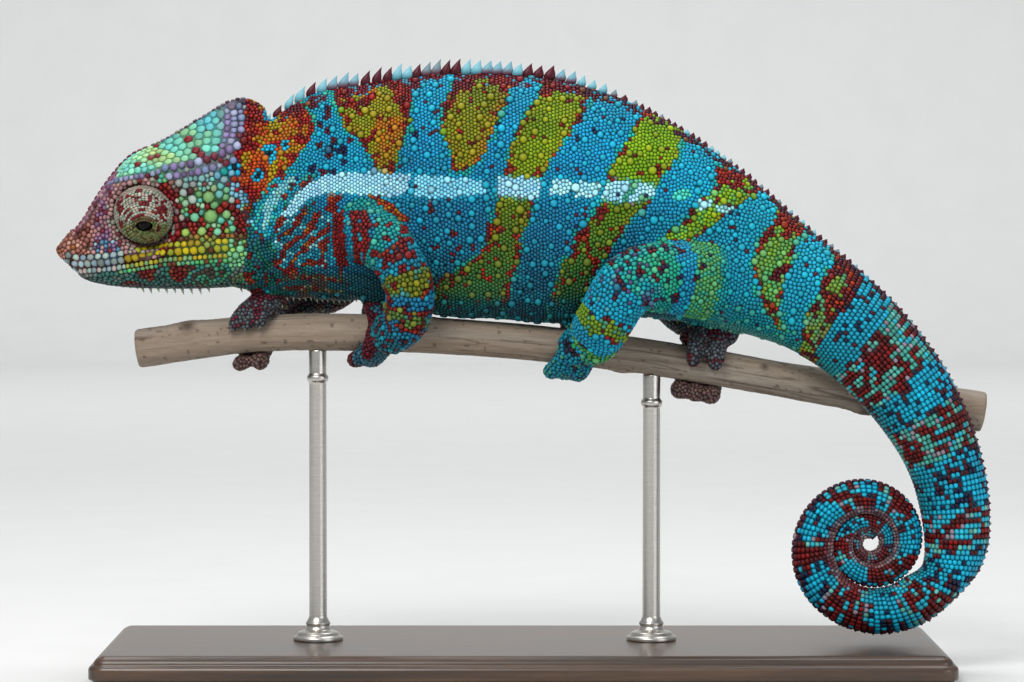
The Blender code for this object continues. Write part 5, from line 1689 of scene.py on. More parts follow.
def make_scales():
    """Every scale: place, spacing, and what is set of its direction, radii, height and tint."""
    scales = []
    spread = Spread()

    def keep(place, spacing, room, direction=None, radii=None, height=None, tint=None):
        scales.append((place, spacing, direction, radii, height, tint))
        spread.add(tuple(place), room)

    # single large scales of the head, and its rows
    for x, z, radius, colour in TUBERCLES:
        for side in (-1, 1):
            for hit in side_cast([(x, z)], side):
                ahead = np.array([1.0, 0, 0])
                keep(np.array(hit), radius * 1.9, radius * 1.75, ahead, (radius, radius), radius * 0.42,
                     colour)
    for line, pitch, r1, r2, h, tones in special_rows():
        if len(line) < 2:
            continue
        beads = bead_line(line, pitch)
        place = nearest(SKIN_TREE, beads)[0]
        for p, ahead in zip(place, unit(np.gradient(beads, axis=0))):
            if spread.free(tuple(p), min(r1, r2) * 1.15):
                size = 1 + RNG.normal(0, 0.17 if tones is LILAC else 0.08)
                tone = tones[int(RNG.integers(len(tones)))]
                keep(p, (r1 + r2) * 0.95, (r1 + r2) * 0.85, ahead, (r1 * size, r2 * size), h * size, tone)
    named = len(scales)
    # the turrets
    for side in (-1, 1):
        p, ahead, r1, r2, height, tint = eye_rows(side)
        for i in np.nonzero(np.abs(p[:, 1]) >= 5.2)[0]:
            keep(p[i], 0.8, 0.8, ahead[i], (r1[i], r2[i]), height[i], tint[i])
    fixed = len(scales)
    # the tail
    tail, local, across = tail_lattice()
    open_air = ~hidden_by_branch(tail)
    for p, a, b in zip(tail[open_air], local[open_air], across[open_air]):
        keep(p, math.sqrt(a * b), math.sqrt(a * b))
    rowed = len(scales)
    # large scales among the granules, then rows in brick order, then fill
    points, size = surface_samples()
    skip = hollow_places(points) | (about(points)["along"] > TAIL_START + 0.5)
    few = np.nonzero(~skip & (points[:, 0] > -78))[0][:16000]
    wide = tubercle_size(points[few], about(points[few])) * (1 + 0.14 * RNG.normal(size=len(few)))
    for i, d in zip(few, wide):
        apart = 3.0 if points[i][0] < -55 else 0.0
        if d > 1.2 and spread.free(tuple(points[i]), 3.9 + 3.4 * RNG.random() + apart):
            keep(points[i], d, d)
    large = len(scales)
    rows = gather()
    place, _, _, far = nearest(SKIN_TREE, rows["p"], 1.5)
    ok = (far < 1.5) & ~((rows["p"][:, 0] < HEAD_END_X) & (rows["p"][:, 2] > 96))
    for i in np.nonzero(ok)[0]:
        d = 1.732 * min(rows["r1"][i], rows["r2"][i])
        if spread.free(tuple(place[i]), d * 0.8):
            keep(place[i], d * 1.04, d * 0.8)
    for i in np.argsort(-size, kind="stable"):
        if not skip[i] and spread.free(tuple(points[i]), size[i] * 0.84):
            keep(points[i], size[i], size[i] * 0.84)
    place = np.array([scale[0] for scale in scales])
    spacing = np.array([scale[1] for scale in scales], float)
    loose = np.ones(len(place))
    loose[:rowed] = 0.0
    loose[rowed:large] = 0.25
    place = settle(place, spacing, loose, 24)
    good = ~hollow_places(place) | (np.arange(len(place)) < fixed)
    ends = named, fixed, int(good[:rowed].sum()), int(good[:large].sum())
    return place[good], spacing[good], [scales[i][2:] for i in np.nonzero(good)[0]], ends


def surface_samples():
    """Random places over the skin with the spacing wanted there."""
    tris = np.concatenate(halves(np.array([f for f in ALL_FACES if len(f) == 4])))
    tris = tris[tris.max(1) < TURRETS_FROM]
    a, b, c = (ALL_VERTS[tris[:, k]] for k in range(3))
    area = np.linalg.norm(np.cross(b - a, c - a), axis=1) / 2
    weight = area * np.where(a[:, 0] < -76, 2.2, 1.0)
    chosen = RNG.choice(len(tris), 270000, p=weight / weight.sum())
    w = RNG.random((len(chosen), 2))
    w = np.where(w.sum(1, keepdims=True) > 1, 1 - w, w)
    points = a[chosen] + (b - a)[chosen] * w[:, :1] + (c - a)[chosen] * w[:, 1:]
    return points, VERT_PITCH[tris[chosen, 0]]


def hollow_places(points):
    """True where no scale grows: under the turrets, in the nostrils and mouth, against the branch."""
    hollow = np.zeros(len(points), bool)
    for side in (-1, 1):
        g = gaze(side)
        q = points - eye_centre(side)
        hollow |= (np.linalg.norm(q - (q @ g)[:, None] * g, axis=1) < 8.3) & (q @ g > -3)
        hollow |= np.linalg.norm(points - nostril(side, 4.7), axis=1) < 1.0
    hollow |= (points[:, 0] < -82) & (np.abs(points[:, 2] - mouth_z(points[:, 0])) < 0.34)
    return hollow | hidden_by_branch(points)


def hidden_by_branch(points):
    """True where the branch covers the skin closely."""
    s = branch_s(points[:, 0])
    row = BRANCH.at(s)
    return np.hypot(points[:, 1] - row[:, 1], points[:, 2] - row[:, 2]) < row[:, 3] + 0.15


def vertex_pitch(lab):
    """Distance between scales wanted at each vertex of the skin."""
    pitch = np.interp(lab["along"], np.arange(440), [body_pitch(s) for s in range(440)])
    pitch = np.where(lab["part"] >= 2, 1.09, pitch)
    pitch = np.where(lab["foot"] >= 1, 1.04, pitch)
    pitch = np.where(lab["foot"] >= 2, 1.0, pitch)
    head = (lab["part"] < 2) & (SKIN_VERTS[:, 0] < -77.5)
    pitch = np.where(head, head_pitch(SKIN_VERTS, head_u(lab)), pitch)
    tail = np.repeat([body_pitch(s) for s in TAIL_SHEET.along], TAIL_SHEET.points.shape[1])
    return np.concatenate([pitch, tail, np.full(len(ALL_VERTS) - REMESH_COUNT - len(tail), 1.0)])


VERT_PITCH = vertex_pitch(SKIN_LAB)


# ------------------------------------------------------------------ materials
def shader_of(name, roughness, **fixed):
    material = bpy.data.materials.new(name)
    material.use_nodes = True
    nodes, links = material.node_tree.nodes, material.node_tree.links
    shader = nodes["Principled BSDF"]
    shader.inputs["Roughness"].default_value = roughness
    for key, value in fixed.items():
        shader.inputs[key.replace("_", " ")].default_value = value
    return material, nodes, links, shader


def noise_node(nodes, links, scale, detail=3.0, stretch=None, rough=0.55):
    where = nodes.new("ShaderNodeTexCoord")
    made = nodes.new("ShaderNodeTexNoise")
    made.inputs["Scale"].default_value = scale
    made.inputs["Detail"].default_value = detail
    made.inputs["Roughness"].default_value = rough
    if stretch:
        mapping = nodes.new("ShaderNodeMapping")
        mapping.inputs["Scale"].default_value = stretch
        links.new(where.outputs["Object"], mapping.inputs["Vector"])
        links.new(mapping.outputs["Vector"], made.inputs["Vector"])
    else:
        links.new(where.outputs["Object"], made.inputs["Vector"])
    return made


def ranged(nodes, links, source, low, high):
    made = nodes.new("ShaderNodeMapRange")
    made.inputs["To Min"].default_value = low
    made.inputs["To Max"].default_value = high
    links.new(source, made.inputs["Value"])
    return made.outputs["Result"]


def tint_of(nodes):
    """The mesh's own colour."""
    made = nodes.new("ShaderNodeAttribute")
    made.attribute_name = "tint"
    return made.outputs["Color"]


def multiplied(nodes, links, shader, tone, shade):
    """Base colour from a tone multiplied by a shade."""
    blend = nodes.new("ShaderNodeMix")
    blend.data_type, blend.blend_type = "RGBA", "MULTIPLY"
    blend.inputs["Factor"].default_value = 1.0
    links.new(tone, blend.inputs["A"])
    links.new(shade, blend.inputs["B"])
    links.new(blend.outputs["Result"], shader.inputs["Base Color"])


def toned(nodes, links, source, *stops):
    """Colour by the source's value, along a ramp of (place, colour) stops."""
    made = nodes.new("ShaderNodeValToRGB")
    elements = made.color_ramp.elements
    for k in (0, -1):
        elements[k].position, elements[k].color = stops[k][0], (*stops[k][1], 1)
    for place, colour in stops[1:-1]:
        elements.new(place).color = (*colour, 1)
    links.new(source, made.inputs["Fac"])
    return made.outputs["Color"]


def bump(nodes, links, shader, height, strength, distance):
    made = nodes.new("ShaderNodeBump")
    made.inputs["Strength"].default_value = strength
    made.inputs["Distance"].default_value = distance
    links.new(height, made.inputs["Height"])
    links.new(made.outputs["Normal"], shader.inputs["Normal"])


def tinted(name, roughness, spread, fine, strength, **fixed):
    """Colour from the mesh's own tint, with grain in tone, roughness and bump."""
    material, nodes, links, shader = shader_of(name, roughness, **fixed)
    grain = noise_node(nodes, links, fine).outputs["Fac"]
    multiplied(nodes, links, shader, tint_of(nodes), ranged(nodes, links, grain, 0.84, 1.16))
    links.new(ranged(nodes, links, grain, roughness - spread, roughness + spread), shader.inputs["Roughness"])
    bump(nodes, links, shader, grain, strength, 0.00012)
    return material


SCALE_MATERIAL = tinted("reptile_scales", 0.42, 0.10, 2600, 0.35, Specular_IOR_Level=0.24)
SKIN_MATERIAL = tinted("reptile_skin", 0.80, 0.1, 1500, 0.6, Specular_IOR_Level=0.12)
HORN_MATERIAL = tinted("claw_horn", 0.35, 0.1, 1800, 0.25, Coat_Weight=0.2, Coat_Roughness=0.2)
EYE_MATERIAL = tinted("eye_gloss", 0.22, 0.03, 1200, 0.02, Specular_IOR_Level=0.12)


# ------------------------------------------------------------------ meshes
ATLAS_SCALE = 0.0033  # of the unwrap, per millimetre


def atlas(lab, slot):
    """Places on an unwrap of the skin's own shape."""
    k = ATLAS_SCALE
    u = 0.005 + lab["along"] * k
    v = 0.005 + lab["round"] * k
    part = lab["part"]
    tail = (part == 0) & (lab["along"] > 165)
    u = np.where(tail, 0.005 + (lab["along"] - 165) * k, u)
    v = np.where(tail, 0.53 + lab["round"] * k, v)
    head = part == 1
    u = np.where(head, 0.575 + lab["along"] * k, u)
    limb = part >= 2
    u = np.where(limb, 0.005 + 0.245 * (part - 2) + lab["along"] * 0.003, u)
    v = np.where(limb, 0.835 + lab["round"] * 0.003, v)
    palm = lab["foot"] == 1
    u = np.where(palm, 0.575 + 0.05 * (part - 2) + lab["along"] * 0.003, u)
    v = np.where(palm, 0.415 + lab["round"] * 0.003, v)
    toe = lab["foot"] == 2
    cells = [(0.79 + 0.07 * i, 0.15 + 0.06 * j) for j in range(6) for i in range(3)]
    cells += [(0.85 + 0.075 * i, 0.53 + 0.07 * j) for j in range(4) for i in range(2)]
    cells = np.array(cells)
    at = cells[np.clip(slot, 0, len(cells) - 1)]
    u = np.where(toe, at[:, 0] + lab["along"] * 0.003, u)
    v = np.where(toe, at[:, 1] + lab["round"] * 0.003, v)
    return np.clip(np.stack([u, v], 1), 0.002, 0.997)


def cone_faces(rings, sides):
    """Triangles of rings of points, closed by a fan below and a tip above."""
    faces = []
    for k in range(rings - 1):
        for i in range(sides):
            j = (i + 1) % sides
            a, b = k * sides, (k + 1) * sides
            faces += [(a + i, a + j, b + j), (a + i, b + j, b + i)]
    top = (rings - 1) * sides
    faces += [(top + i, top + (i + 1) % sides, rings * sides) for i in range(sides)]
    return np.array(faces + [(0, i + 1, i) for i in range(1, sides - 1)])


def template(rings, apex):
    """A low dome: rings of (share of the outline, height, shade), closed below and by an apex; the shade is
    painted shade, dark at the rim, and a painted highlight at the apex.
    """
    turn = 2 * np.pi * np.arange(SIDES) / SIDES
    flat = np.concatenate([np.stack([r * np.cos(turn), r * np.sin(turn)], 1) for r, _,
                           _ in rings] + [[(0, 0)]])
    lift = np.array([z for _, z, _ in rings for _ in range(SIDES)] + [apex[0]])
    shade = np.array([f for _, _, f in rings for _ in range(SIDES)] + [apex[1]])
    return flat, lift, shade, cone_faces(len(rings), SIDES)


# The shade column is painted light: painted shade in the grooves at each scale's rim, and a painted highlight
# at its top.
BEAD = template([(1.0, -0.6, 0.34), (0.985, 0.25, 0.50), (0.70, 0.84, 0.94)], (1.0, 1.14))
PLATE = template([(1.0, -0.6, 0.36), (0.95, 0.42, 0.66), (0.76, 0.9, 0.99)], (1.0, 1.04))


def mesh_from(name, verts, tris, tint, uv):
    mesh = bpy.data.meshes.new(name)
    mesh.vertices.add(len(verts))
    mesh.vertices.foreach_set("co", (verts * MM).astype(np.float32).ravel())
    mesh.loops.add(len(tris) * 3)
    mesh.loops.foreach_set("vertex_index", tris.astype(np.int32).ravel())
    mesh.polygons.add(len(tris))
    mesh.polygons.foreach_set("loop_start", np.arange(0, len(tris) * 3, 3, dtype=np.int32))
    mesh.polygons.foreach_set("loop_total", np.full(len(tris), 3, np.int32))
    mesh.update(calc_edges=True)
    mesh.polygons.foreach_set("use_smooth", np.ones(len(tris), bool))
    colour = mesh.attributes.new("tint", "FLOAT_COLOR", "POINT")
    colour.data.foreach_set("color",
                            np.concatenate([tint, np.ones((len(tint), 1))], 1).astype(np.float32).ravel())
    if uv is not None:
        layer = mesh.uv_layers.new(name="OFBake")
        layer.data.foreach_set("uv", uv[tris.ravel()].astype(np.float32).ravel())
    mesh.validate()
    obj = bpy.data.objects.new(name, mesh)
    bpy.context.scene.collection.objects.link(obj)
    return obj


def stamped(name, shape, place, normal, along, outline, height, tint, root_uv):
    """One mesh of many scales, each with its own outline and its own patch of the unwrap."""
    flat, lift, shade, faces = shape
    side = np.cross(normal, along)
    n = len(place)
    rings = (len(flat) - 1) // SIDES
    reach = np.concatenate([np.tile(outline, (1, rings)), np.zeros((n, 1))], 1)
    v = (
        place[:, None]
        + along[:, None] * (flat[None, :, 0] * reach)[..., None]
        + side[:, None] * (flat[None, :, 1] * reach)[..., None]
        + normal[:, None] * (lift[None] * height[:, None])[..., None]
    )
    tris = faces[None] + (np.arange(n) * len(flat))[:, None, None]
    # Painted shade at the rim and a painted highlight at the top, multiplied into each scale's tint.
    colours = np.clip(tint[:, None] * shade[None, :, None], 0, 1)
    uv = root_uv[:, None] + flat[None] * 0.0015
    return mesh_from(name, v.reshape(-1, 3), tris.reshape(-1, 3), colours.reshape(-1, 3), uv.reshape(-1, 2))


def toe_slot(points):
    """Which toe each point is on, by the order in which the toes were made."""
    number = {id(s): i for i, s in enumerate(s for s in SHEETS if s.foot == "toe")}
    return np.array([number.get(id(RAW_INFO[f][0]), 0) for f in nearest(RAW_TREE, points)[2]])


def finish_piece(obj, material):
    obj.data.materials.append(material)
    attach(obj, "root")
    return obj


def build_skin():
    lab = about(ALL_VERTS)
    colours = markings(ALL_VERTS, lab, np.full((len(ALL_VERTS), 3), 0.3))
    # Painted shade: the skin, seen only in the gaps between scales, is coloured at 0.22 of the scales'
    # colour, 0.5 under the casque's plates, and the turrets' skin is dark brown.
    plated = (lab["part"] == 1) & (head_u(lab) < 1.25) & (ALL_VERTS[:, 0] < -80)
    tint = deepen(colours) * np.where(plated, 0.5, 0.22)[:, None] + 0.001
    tint[TURRETS_FROM:] = linear((86, 62, 54)) * 0.6
    tris = halves(np.array([f for f in ALL_FACES if len(f) == 4]))
    for f in ALL_FACES:
        if len(f) > 4:
            tris.append(np.array([(f[0], f[i], f[i + 1]) for i in range(1, len(f) - 1)]))
        elif len(f) == 3:
            tris.append(np.array([f]))
    tris = np.concatenate(tris)
    obj = mesh_from("skin", ALL_VERTS, tris, tint, atlas(lab, toe_slot(ALL_VERTS)))
    return finish_piece(obj, SKIN_MATERIAL)


def scale_frames(place, lab, directions, turret):
    """The skin's normal at each scale, and the scale's own direction in it."""
    face = nearest(SKIN_TREE, place)[2]
    corners = np.array([f if len(f) == 4 else (f[0], f[1], f[2], f[2]) for f in ALL_FACES])[face]
    normal = unit(SKIN_NORMALS[corners].sum(1))
    for side in (-1, 1):
        own = turret & (place[:, 1] * side > 0)
        normal[own] = unit(place[own] - eye_centre(side))
    along = lab["axis"].copy()
    given = np.array([d is not None for d in directions])
    along[given] = np.array([d for d in directions if d is not None])
    along = along - normal * np.sum(along * normal, 1, keepdims=True)
    bad = np.linalg.norm(along, axis=1) < 1e-3
    along[bad] = np.cross(normal[bad], [0.0, 0.0, 1.0]) + 1e-6
    return normal, unit(along)


def coat_atlas(place, lab, turret):
    """Where each scale's colours lie on the unwrap; those of the turrets have a disc each."""
    root = atlas(lab, toe_slot(place))
    for side in (-1, 1):
        g, ahead, down = turret_frame(side)
        q = place - eye_centre(side)
        on = turret & (place[:, 1] * side > 0)
        theta = np.arccos(np.clip(unit(q) @ g, -1, 1)) * 8.0 * ATLAS_SCALE
        a = np.arctan2(q @ down, q @ ahead)
        disc = np.stack([0.852 + 0.098 * (side > 0) + theta * np.cos(a), 0.07 + theta * np.sin(a)], 1)
        root = put(root, on, disc)
    return root


def build_coat():
    place, pitch, set_looks, (named, fixed, rowed, large) = make_scales()
    directions, radii, heights, tints = zip(*set_looks)
    n = len(place)
    number = np.arange(n)
    lab = about(place)
    turret = (number >= named) & (number < fixed)
    normal, along = scale_frames(place, lab, directions, turret)
    # radii from the crowding round each scale
    table, gaps = neighbours(place, normal, NEIGHBOUR_REACH, NEIGHBOUR_COUNT)
    other = np.maximum(table, 0)
    crowd = np.nanmean((gaps / (0.5 * (pitch[:, None] + pitch[other])))[:, :5], axis=1)
    radius = 0.5 * pitch * np.clip(np.nan_to_num(crowd, nan=1.0), 0.7, 1.35)
    radius[[r is not None for r in radii]] = [0.5 * (r[0] + r[1]) for r in radii if r is not None]
    # colours
    colours = markings(place, lab, RNG.random((n, 3)))
    set_tint = np.array([c is not None for c in tints])
    tone = (1 + RNG.normal(0, 0.05, set_tint.sum()))[:, None]
    colours[set_tint] = np.array([c for c in tints if c is not None], float) * tone
    big = (number >= rowed) & (number < large) & (place[:, 0] > -79)
    around = np.median(colours[other[:, :7]], axis=1)
    colours = put(colours, big, tubercle_tint(around))
    colours *= (1 + RNG.normal(0, 0.06, n))[:, None]
    # heights and outlines
    head = (place[:, 0] < HEAD_END_X) & (lab["part"] < 2)
    plate = head & (head_u(lab) < 1.0) & (place[:, 0] > -114) & ~set_tint
    height = radius * np.where(head, 0.5, 0.56) * np.where(big, 1.05, 1.0) * np.where(plate, 0.5, 1.0)
    height = np.array([h if h is not None else height[i] for i, h in enumerate(heights)])
    groove = np.where(turret, 0.02, np.where(head & ~plate, 0.03, 0.012))
    room = np.where(plate, 1.6, np.where(head, 1.3, 1.22))
    outline = outlines(place, normal, along, radius, table, groove, room)
    for i in np.nonzero(turret)[0]:
        outline[i] = ring_outline(*radii[i])
    tint = deepen(colours)
    root = coat_atlas(place, lab, turret)
    # pieces
    limb = lab["part"] >= 2
    group = np.where(head, -1000.0, np.where(limb, 1000.0 * lab["part"], lab["along"]))
    order = np.argsort(group, kind="stable")
    for tag, mask, shape in (
        ("head", head & ~plate, BEAD), ("body", ~head & ~limb, BEAD), ("limbs", ~head & limb, BEAD),
        ("casque", plate, PLATE),
    ):
        members = order[mask[order]]
        pieces = max(1, math.ceil(len(members) / SCALES_PER_PIECE))
        for k, own in enumerate(np.array_split(members, pieces)):
            obj = stamped(f"scales_{tag}_{k + 1}", shape, place[own], normal[own], along[own], outline[own],
                          height[own], tint[own], root[own])
            finish_piece(obj, SCALE_MATERIAL)
    print("scales", n, "large", int(big.sum()))


def ring_outline(r1, r2):
    turn = 2 * np.pi * np.arange(SIDES) / SIDES
    return r1 * r2 / np.sqrt((r2 * np.cos(turn)) ** 2 + (r1 * np.sin(turn)) ** 2)


def tubercle_tint(colours):
    """Large scales are paler, in the tone of what lies round them."""
    red, green, blue = colours.T
    pale = np.where((blue > red + 24)[:, None], (92, 198, 210), (170, 150, 60))
    pale = put(pale, (green > 120) & (red < 130) & (blue < 150) & (blue > 70), (140, 200, 150))
    pale = put(pale, (red > 75) & (green < 60), (150, 44, 30))
    pale = put(pale, (red > 120) & (green > 180), (190, 232, 244))
    return mix(colours, pale, 0.34)


def deepen(colours):
    """Linear base colours, a little more saturated than the eye reads them under soft light."""
    c = linear(np.clip(colours, 2, 250)) * 0.86
    grey = c @ np.array([0.25, 0.6, 0.15])
    return np.clip(grey[:, None] + (c - grey[:, None]) * 1.22, 0.0015, 1.0)


def horn(base, up, back, height, r_back, r_side, bend, full=1.6, swell=0.0, rings=8, sides=10):
    """A curved cone: its points ring by ring and its tip, with shares of its height."""
    side = np.cross(up, back)
    verts, shares = [], []
    for k in range(rings):
        t = k / rings
        centre = base + up * (height * t) + back * (bend * t * t)
        r = (1 - t**full) * (1 + swell * math.sin(math.pi * min(t * 1.35, 1.0)))
        for i in range(sides):
            a = 2 * math.pi * i / sides
            verts.append(centre + back * (r_back * r * math.cos(a)) + side * (r_side * r * math.sin(a)))
            shares.append(t)
    verts.append(base + up * height + back * bend)
    shares.append(1.0)
    return np.array(verts), cone_faces(rings, sides), np.array(shares)


def build_horns(name, items, material, full=1.6, swell=0.0):
    """Items: base, up, back, height, radii, bend, colour low, colour high."""
    V, F, C, UV = [], [], [], []
    start = 0
    bases = np.array([it[0] for it in items])
    lab = about(bases)
    root = atlas(lab, toe_slot(bases))
    for n, (base, up, back, height, rb, rs, bend, low, high) in enumerate(items):
        v, f, t = horn(base, up, back, height, rb, rs, bend, full, swell)
        V.append(v)
        F.append(f + start)
        # Painted shade: each cone is darker towards its root, where it meets the skin.
        shade = 0.5 + 0.5 * smooth(t / 0.25)
        C.append(deepen(mix(low, high, smooth(t * 1.8))) * shade[:, None])
        local = np.stack([(v - base) @ back, (v - base) @ np.cross(up, back)], 1)
        UV.append(root[n] + 0.0015 * local / max(rb, rs))
        start += len(v)
    obj = mesh_from(name, np.concatenate(V), np.concatenate(F), np.clip(np.concatenate(C), 0, 1),
                    np.concatenate(UV))
    return finish_piece(obj, material)


PALE_SPINES = [(12, 37), (49, 54), (68, 84), (92, 108)]  # where most spines are pale, along the back
SPINE_TONES = {  # pale or not: chance of the first pair of colours, root and tip, and the two pairs
    True: (0.35, ((84, 30, 44), (126, 170, 184)), ((92, 144, 158), (140, 188, 200))),
    False: (0.75, ((62, 12, 22), (74, 20, 34)), ((72, 18, 28), (120, 140, 148))),
}


def build_spines():
    rng = np.random.default_rng(11)
    items = []
    s = 11.0
    while s < 366:
        row = BODY.at(s)
        up = unit(np.array([row[0] - row[2], 0, row[1] - row[3]]))
        back = np.array([up[2], 0, -up[0]])
        base = np.array([row[0], row[5], row[1]]) - up * 0.75
        if s < 114:
            pale = rng.random() < (0.86 if any(a < s < b for a, b in PALE_SPINES) else 0.16)
            tall = float(np.interp(s, [10, 16, 24, 60, 90, 104, 114], [2.6, 4.0, 4.2, 3.9, 3.5, 2.4, 1.4]))
            tall *= rng.uniform(0.8, 1.1)
            r = float(np.interp(s, [11, 20, 50, 90, 114], [0.9, 1.1, 1.3, 1.35, 0.9]))
            pitch = float(np.interp(s, [14, 40, 60], [3.5, 3.2, 2.75]))
        else:
            pale = rng.random() < 0.08
            tall = float(np.interp(s, [114, 170, 260, 366], [1.1, 0.8, 0.55, 0.3])) * rng.uniform(0.8, 1.15)
            r = float(np.interp(s, [114, 260, 366], [0.85, 0.75, 0.5]))
            pitch = 1.75
        chance, first, second = SPINE_TONES[pale]
        low, high = first if rng.random() < chance else second
        items.append((base, up, back, tall + 0.75, r * rng.uniform(0.9, 1.1), r * 0.55, 0.42 * tall, low,
                      high))
        s += pitch * rng.uniform(0.92, 1.08)
    build_horns("back_spines", items, SCALE_MATERIAL, 2.0, 0.3)


def build_throat_spines():
    """The small cones under the chin, and the lower fringe that goes on under the neck."""
    rng = np.random.default_rng(12)
    items = []
    for first, last, pitch, tall, radius, low, high in (
        (-106.5, -86.0, 2.3, 2.1, 0.62, (92, 116, 106), (158, 170, 152)),
        (-112.0, -107.0, 1.9, 0.9, 0.45, (70, 96, 92), (120, 130, 120)),
        (-79.0, -42.0, 1.6, 1.5, 0.5, (84, 108, 100), (150, 162, 148)),
    ):
        x = first
        while x < last:
            hit = SKIN_TREE.ray_cast((x, rng.uniform(-0.3, 0.3), 90), (0, 0, 1))
            if hit[0] is not None:
                up = unit(np.array([0.18, rng.uniform(-0.12, 0.12), -1.0]))
                back = unit(np.array([1.0, 0, 0.18]))
                height = tall * rng.uniform(0.75, 1.1)
                items.append((np.array(hit[0]) - up * 0.4, up, back, height + 0.4, radius, radius * 0.8, 0.2,
                              low, high))
            x += pitch * rng.uniform(0.9, 1.1)
    build_horns("throat_spines", items, SCALE_MATERIAL, 1.1)


def build_claws():
    items = []
    for claws in CLAWS.values():
        for toe, ahead in claws:
            end = toe.at(toe.length)[:3]
            row = BRANCH.at(branch_s(end[0]))
            inward = unit(np.array([0, row[1] - end[1], row[2] - end[2]]))
            up = unit(ahead - inward * 0.1)
            side = unit(np.cross(up, inward))
            back = np.cross(side, up)
            if back @ inward < 0:
                back = -back
            items.append((end - up * 1.2, up, back, 2.3, 0.6, 0.48, 0.6, (44, 38, 38), (92, 86, 80)))
    build_horns("claws", items, HORN_MATERIAL)


# Colours of the eye by degrees from the gaze: pupil, iris, then the dark ball
EYE_RINGS = [(0, (3, 3, 4)), (46, (4, 4, 5)), (49, (74, 54, 30)), (56, (50, 36, 24)), (60, (30, 22, 16)),
             (180, (20, 14, 12))]


def build_eyeballs():
    for side in (-1, 1):
        g = gaze(side)
        centre = eye_centre(side) + g * (TURRET_RADIUS - EYEBALL_RADIUS - 0.15)
        theta = np.linspace(0.02, math.pi - 0.02, 48)
        a = np.linspace(0, 2 * np.pi, 56, endpoint=False)
        th, aa = np.meshgrid(theta, a, indexing="ij")
        bulge = 1 + 0.045 * np.exp(-((th / 0.42) ** 4))
        v = centre + (EYEBALL_RADIUS * bulge)[..., None] * around_gaze(side, th, aa)
        deg = np.degrees(th).ravel()
        c = ramp(deg, EYE_RINGS)
        streak = 1 + 0.25 * np.sin(aa.ravel() * 23) * (deg > 47)
        rows, sides = th.shape
        tris = halves(tube_quads(rows, sides))
        verts = np.concatenate([v.reshape(-1, 3), [centre + g * EYEBALL_RADIUS * 1.045],
                                [centre - g * EYEBALL_RADIUS]])
        n = rows * sides
        tris.append(np.array([(n, (k + 1) % sides, k) for k in range(sides)]))
        last = (rows - 1) * sides
        tris.append(np.array([(n + 1, last + k, last + (k + 1) % sides) for k in range(sides)]))
        tris = np.concatenate(tris)
        tint = np.concatenate([linear(c) * streak[:, None], linear([(4, 4, 5), (26, 18, 14)])])
        name = "eyeball_left" if side < 0 else "eyeball_right"
        obj = mesh_from(f"{name}_gloss", verts, outward(verts, tris), tint, None)
        finish_piece(obj, EYE_MATERIAL)
        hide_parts(name)


def outward(verts, tris):
    """The triangles, turned over if the closed mesh is inside out."""
    a, b, c = (verts[tris[:, k]] - verts.mean(0) for k in range(3))
    volume = np.sum(a * np.cross(b, c))
    return tris if volume > 0 else tris[:, ::-1].copy()


# ------------------------------------------------------------------ branch
KNOTS = [(-93.0, 40, 4.5, 0.9), (-28.0, 20, 2.2, 1.2), (28.0, 200, 3.0, 0.9), (97.0, 150, 4.5, 1.4),
         (66.0, 60, 2.4, 0.6)]


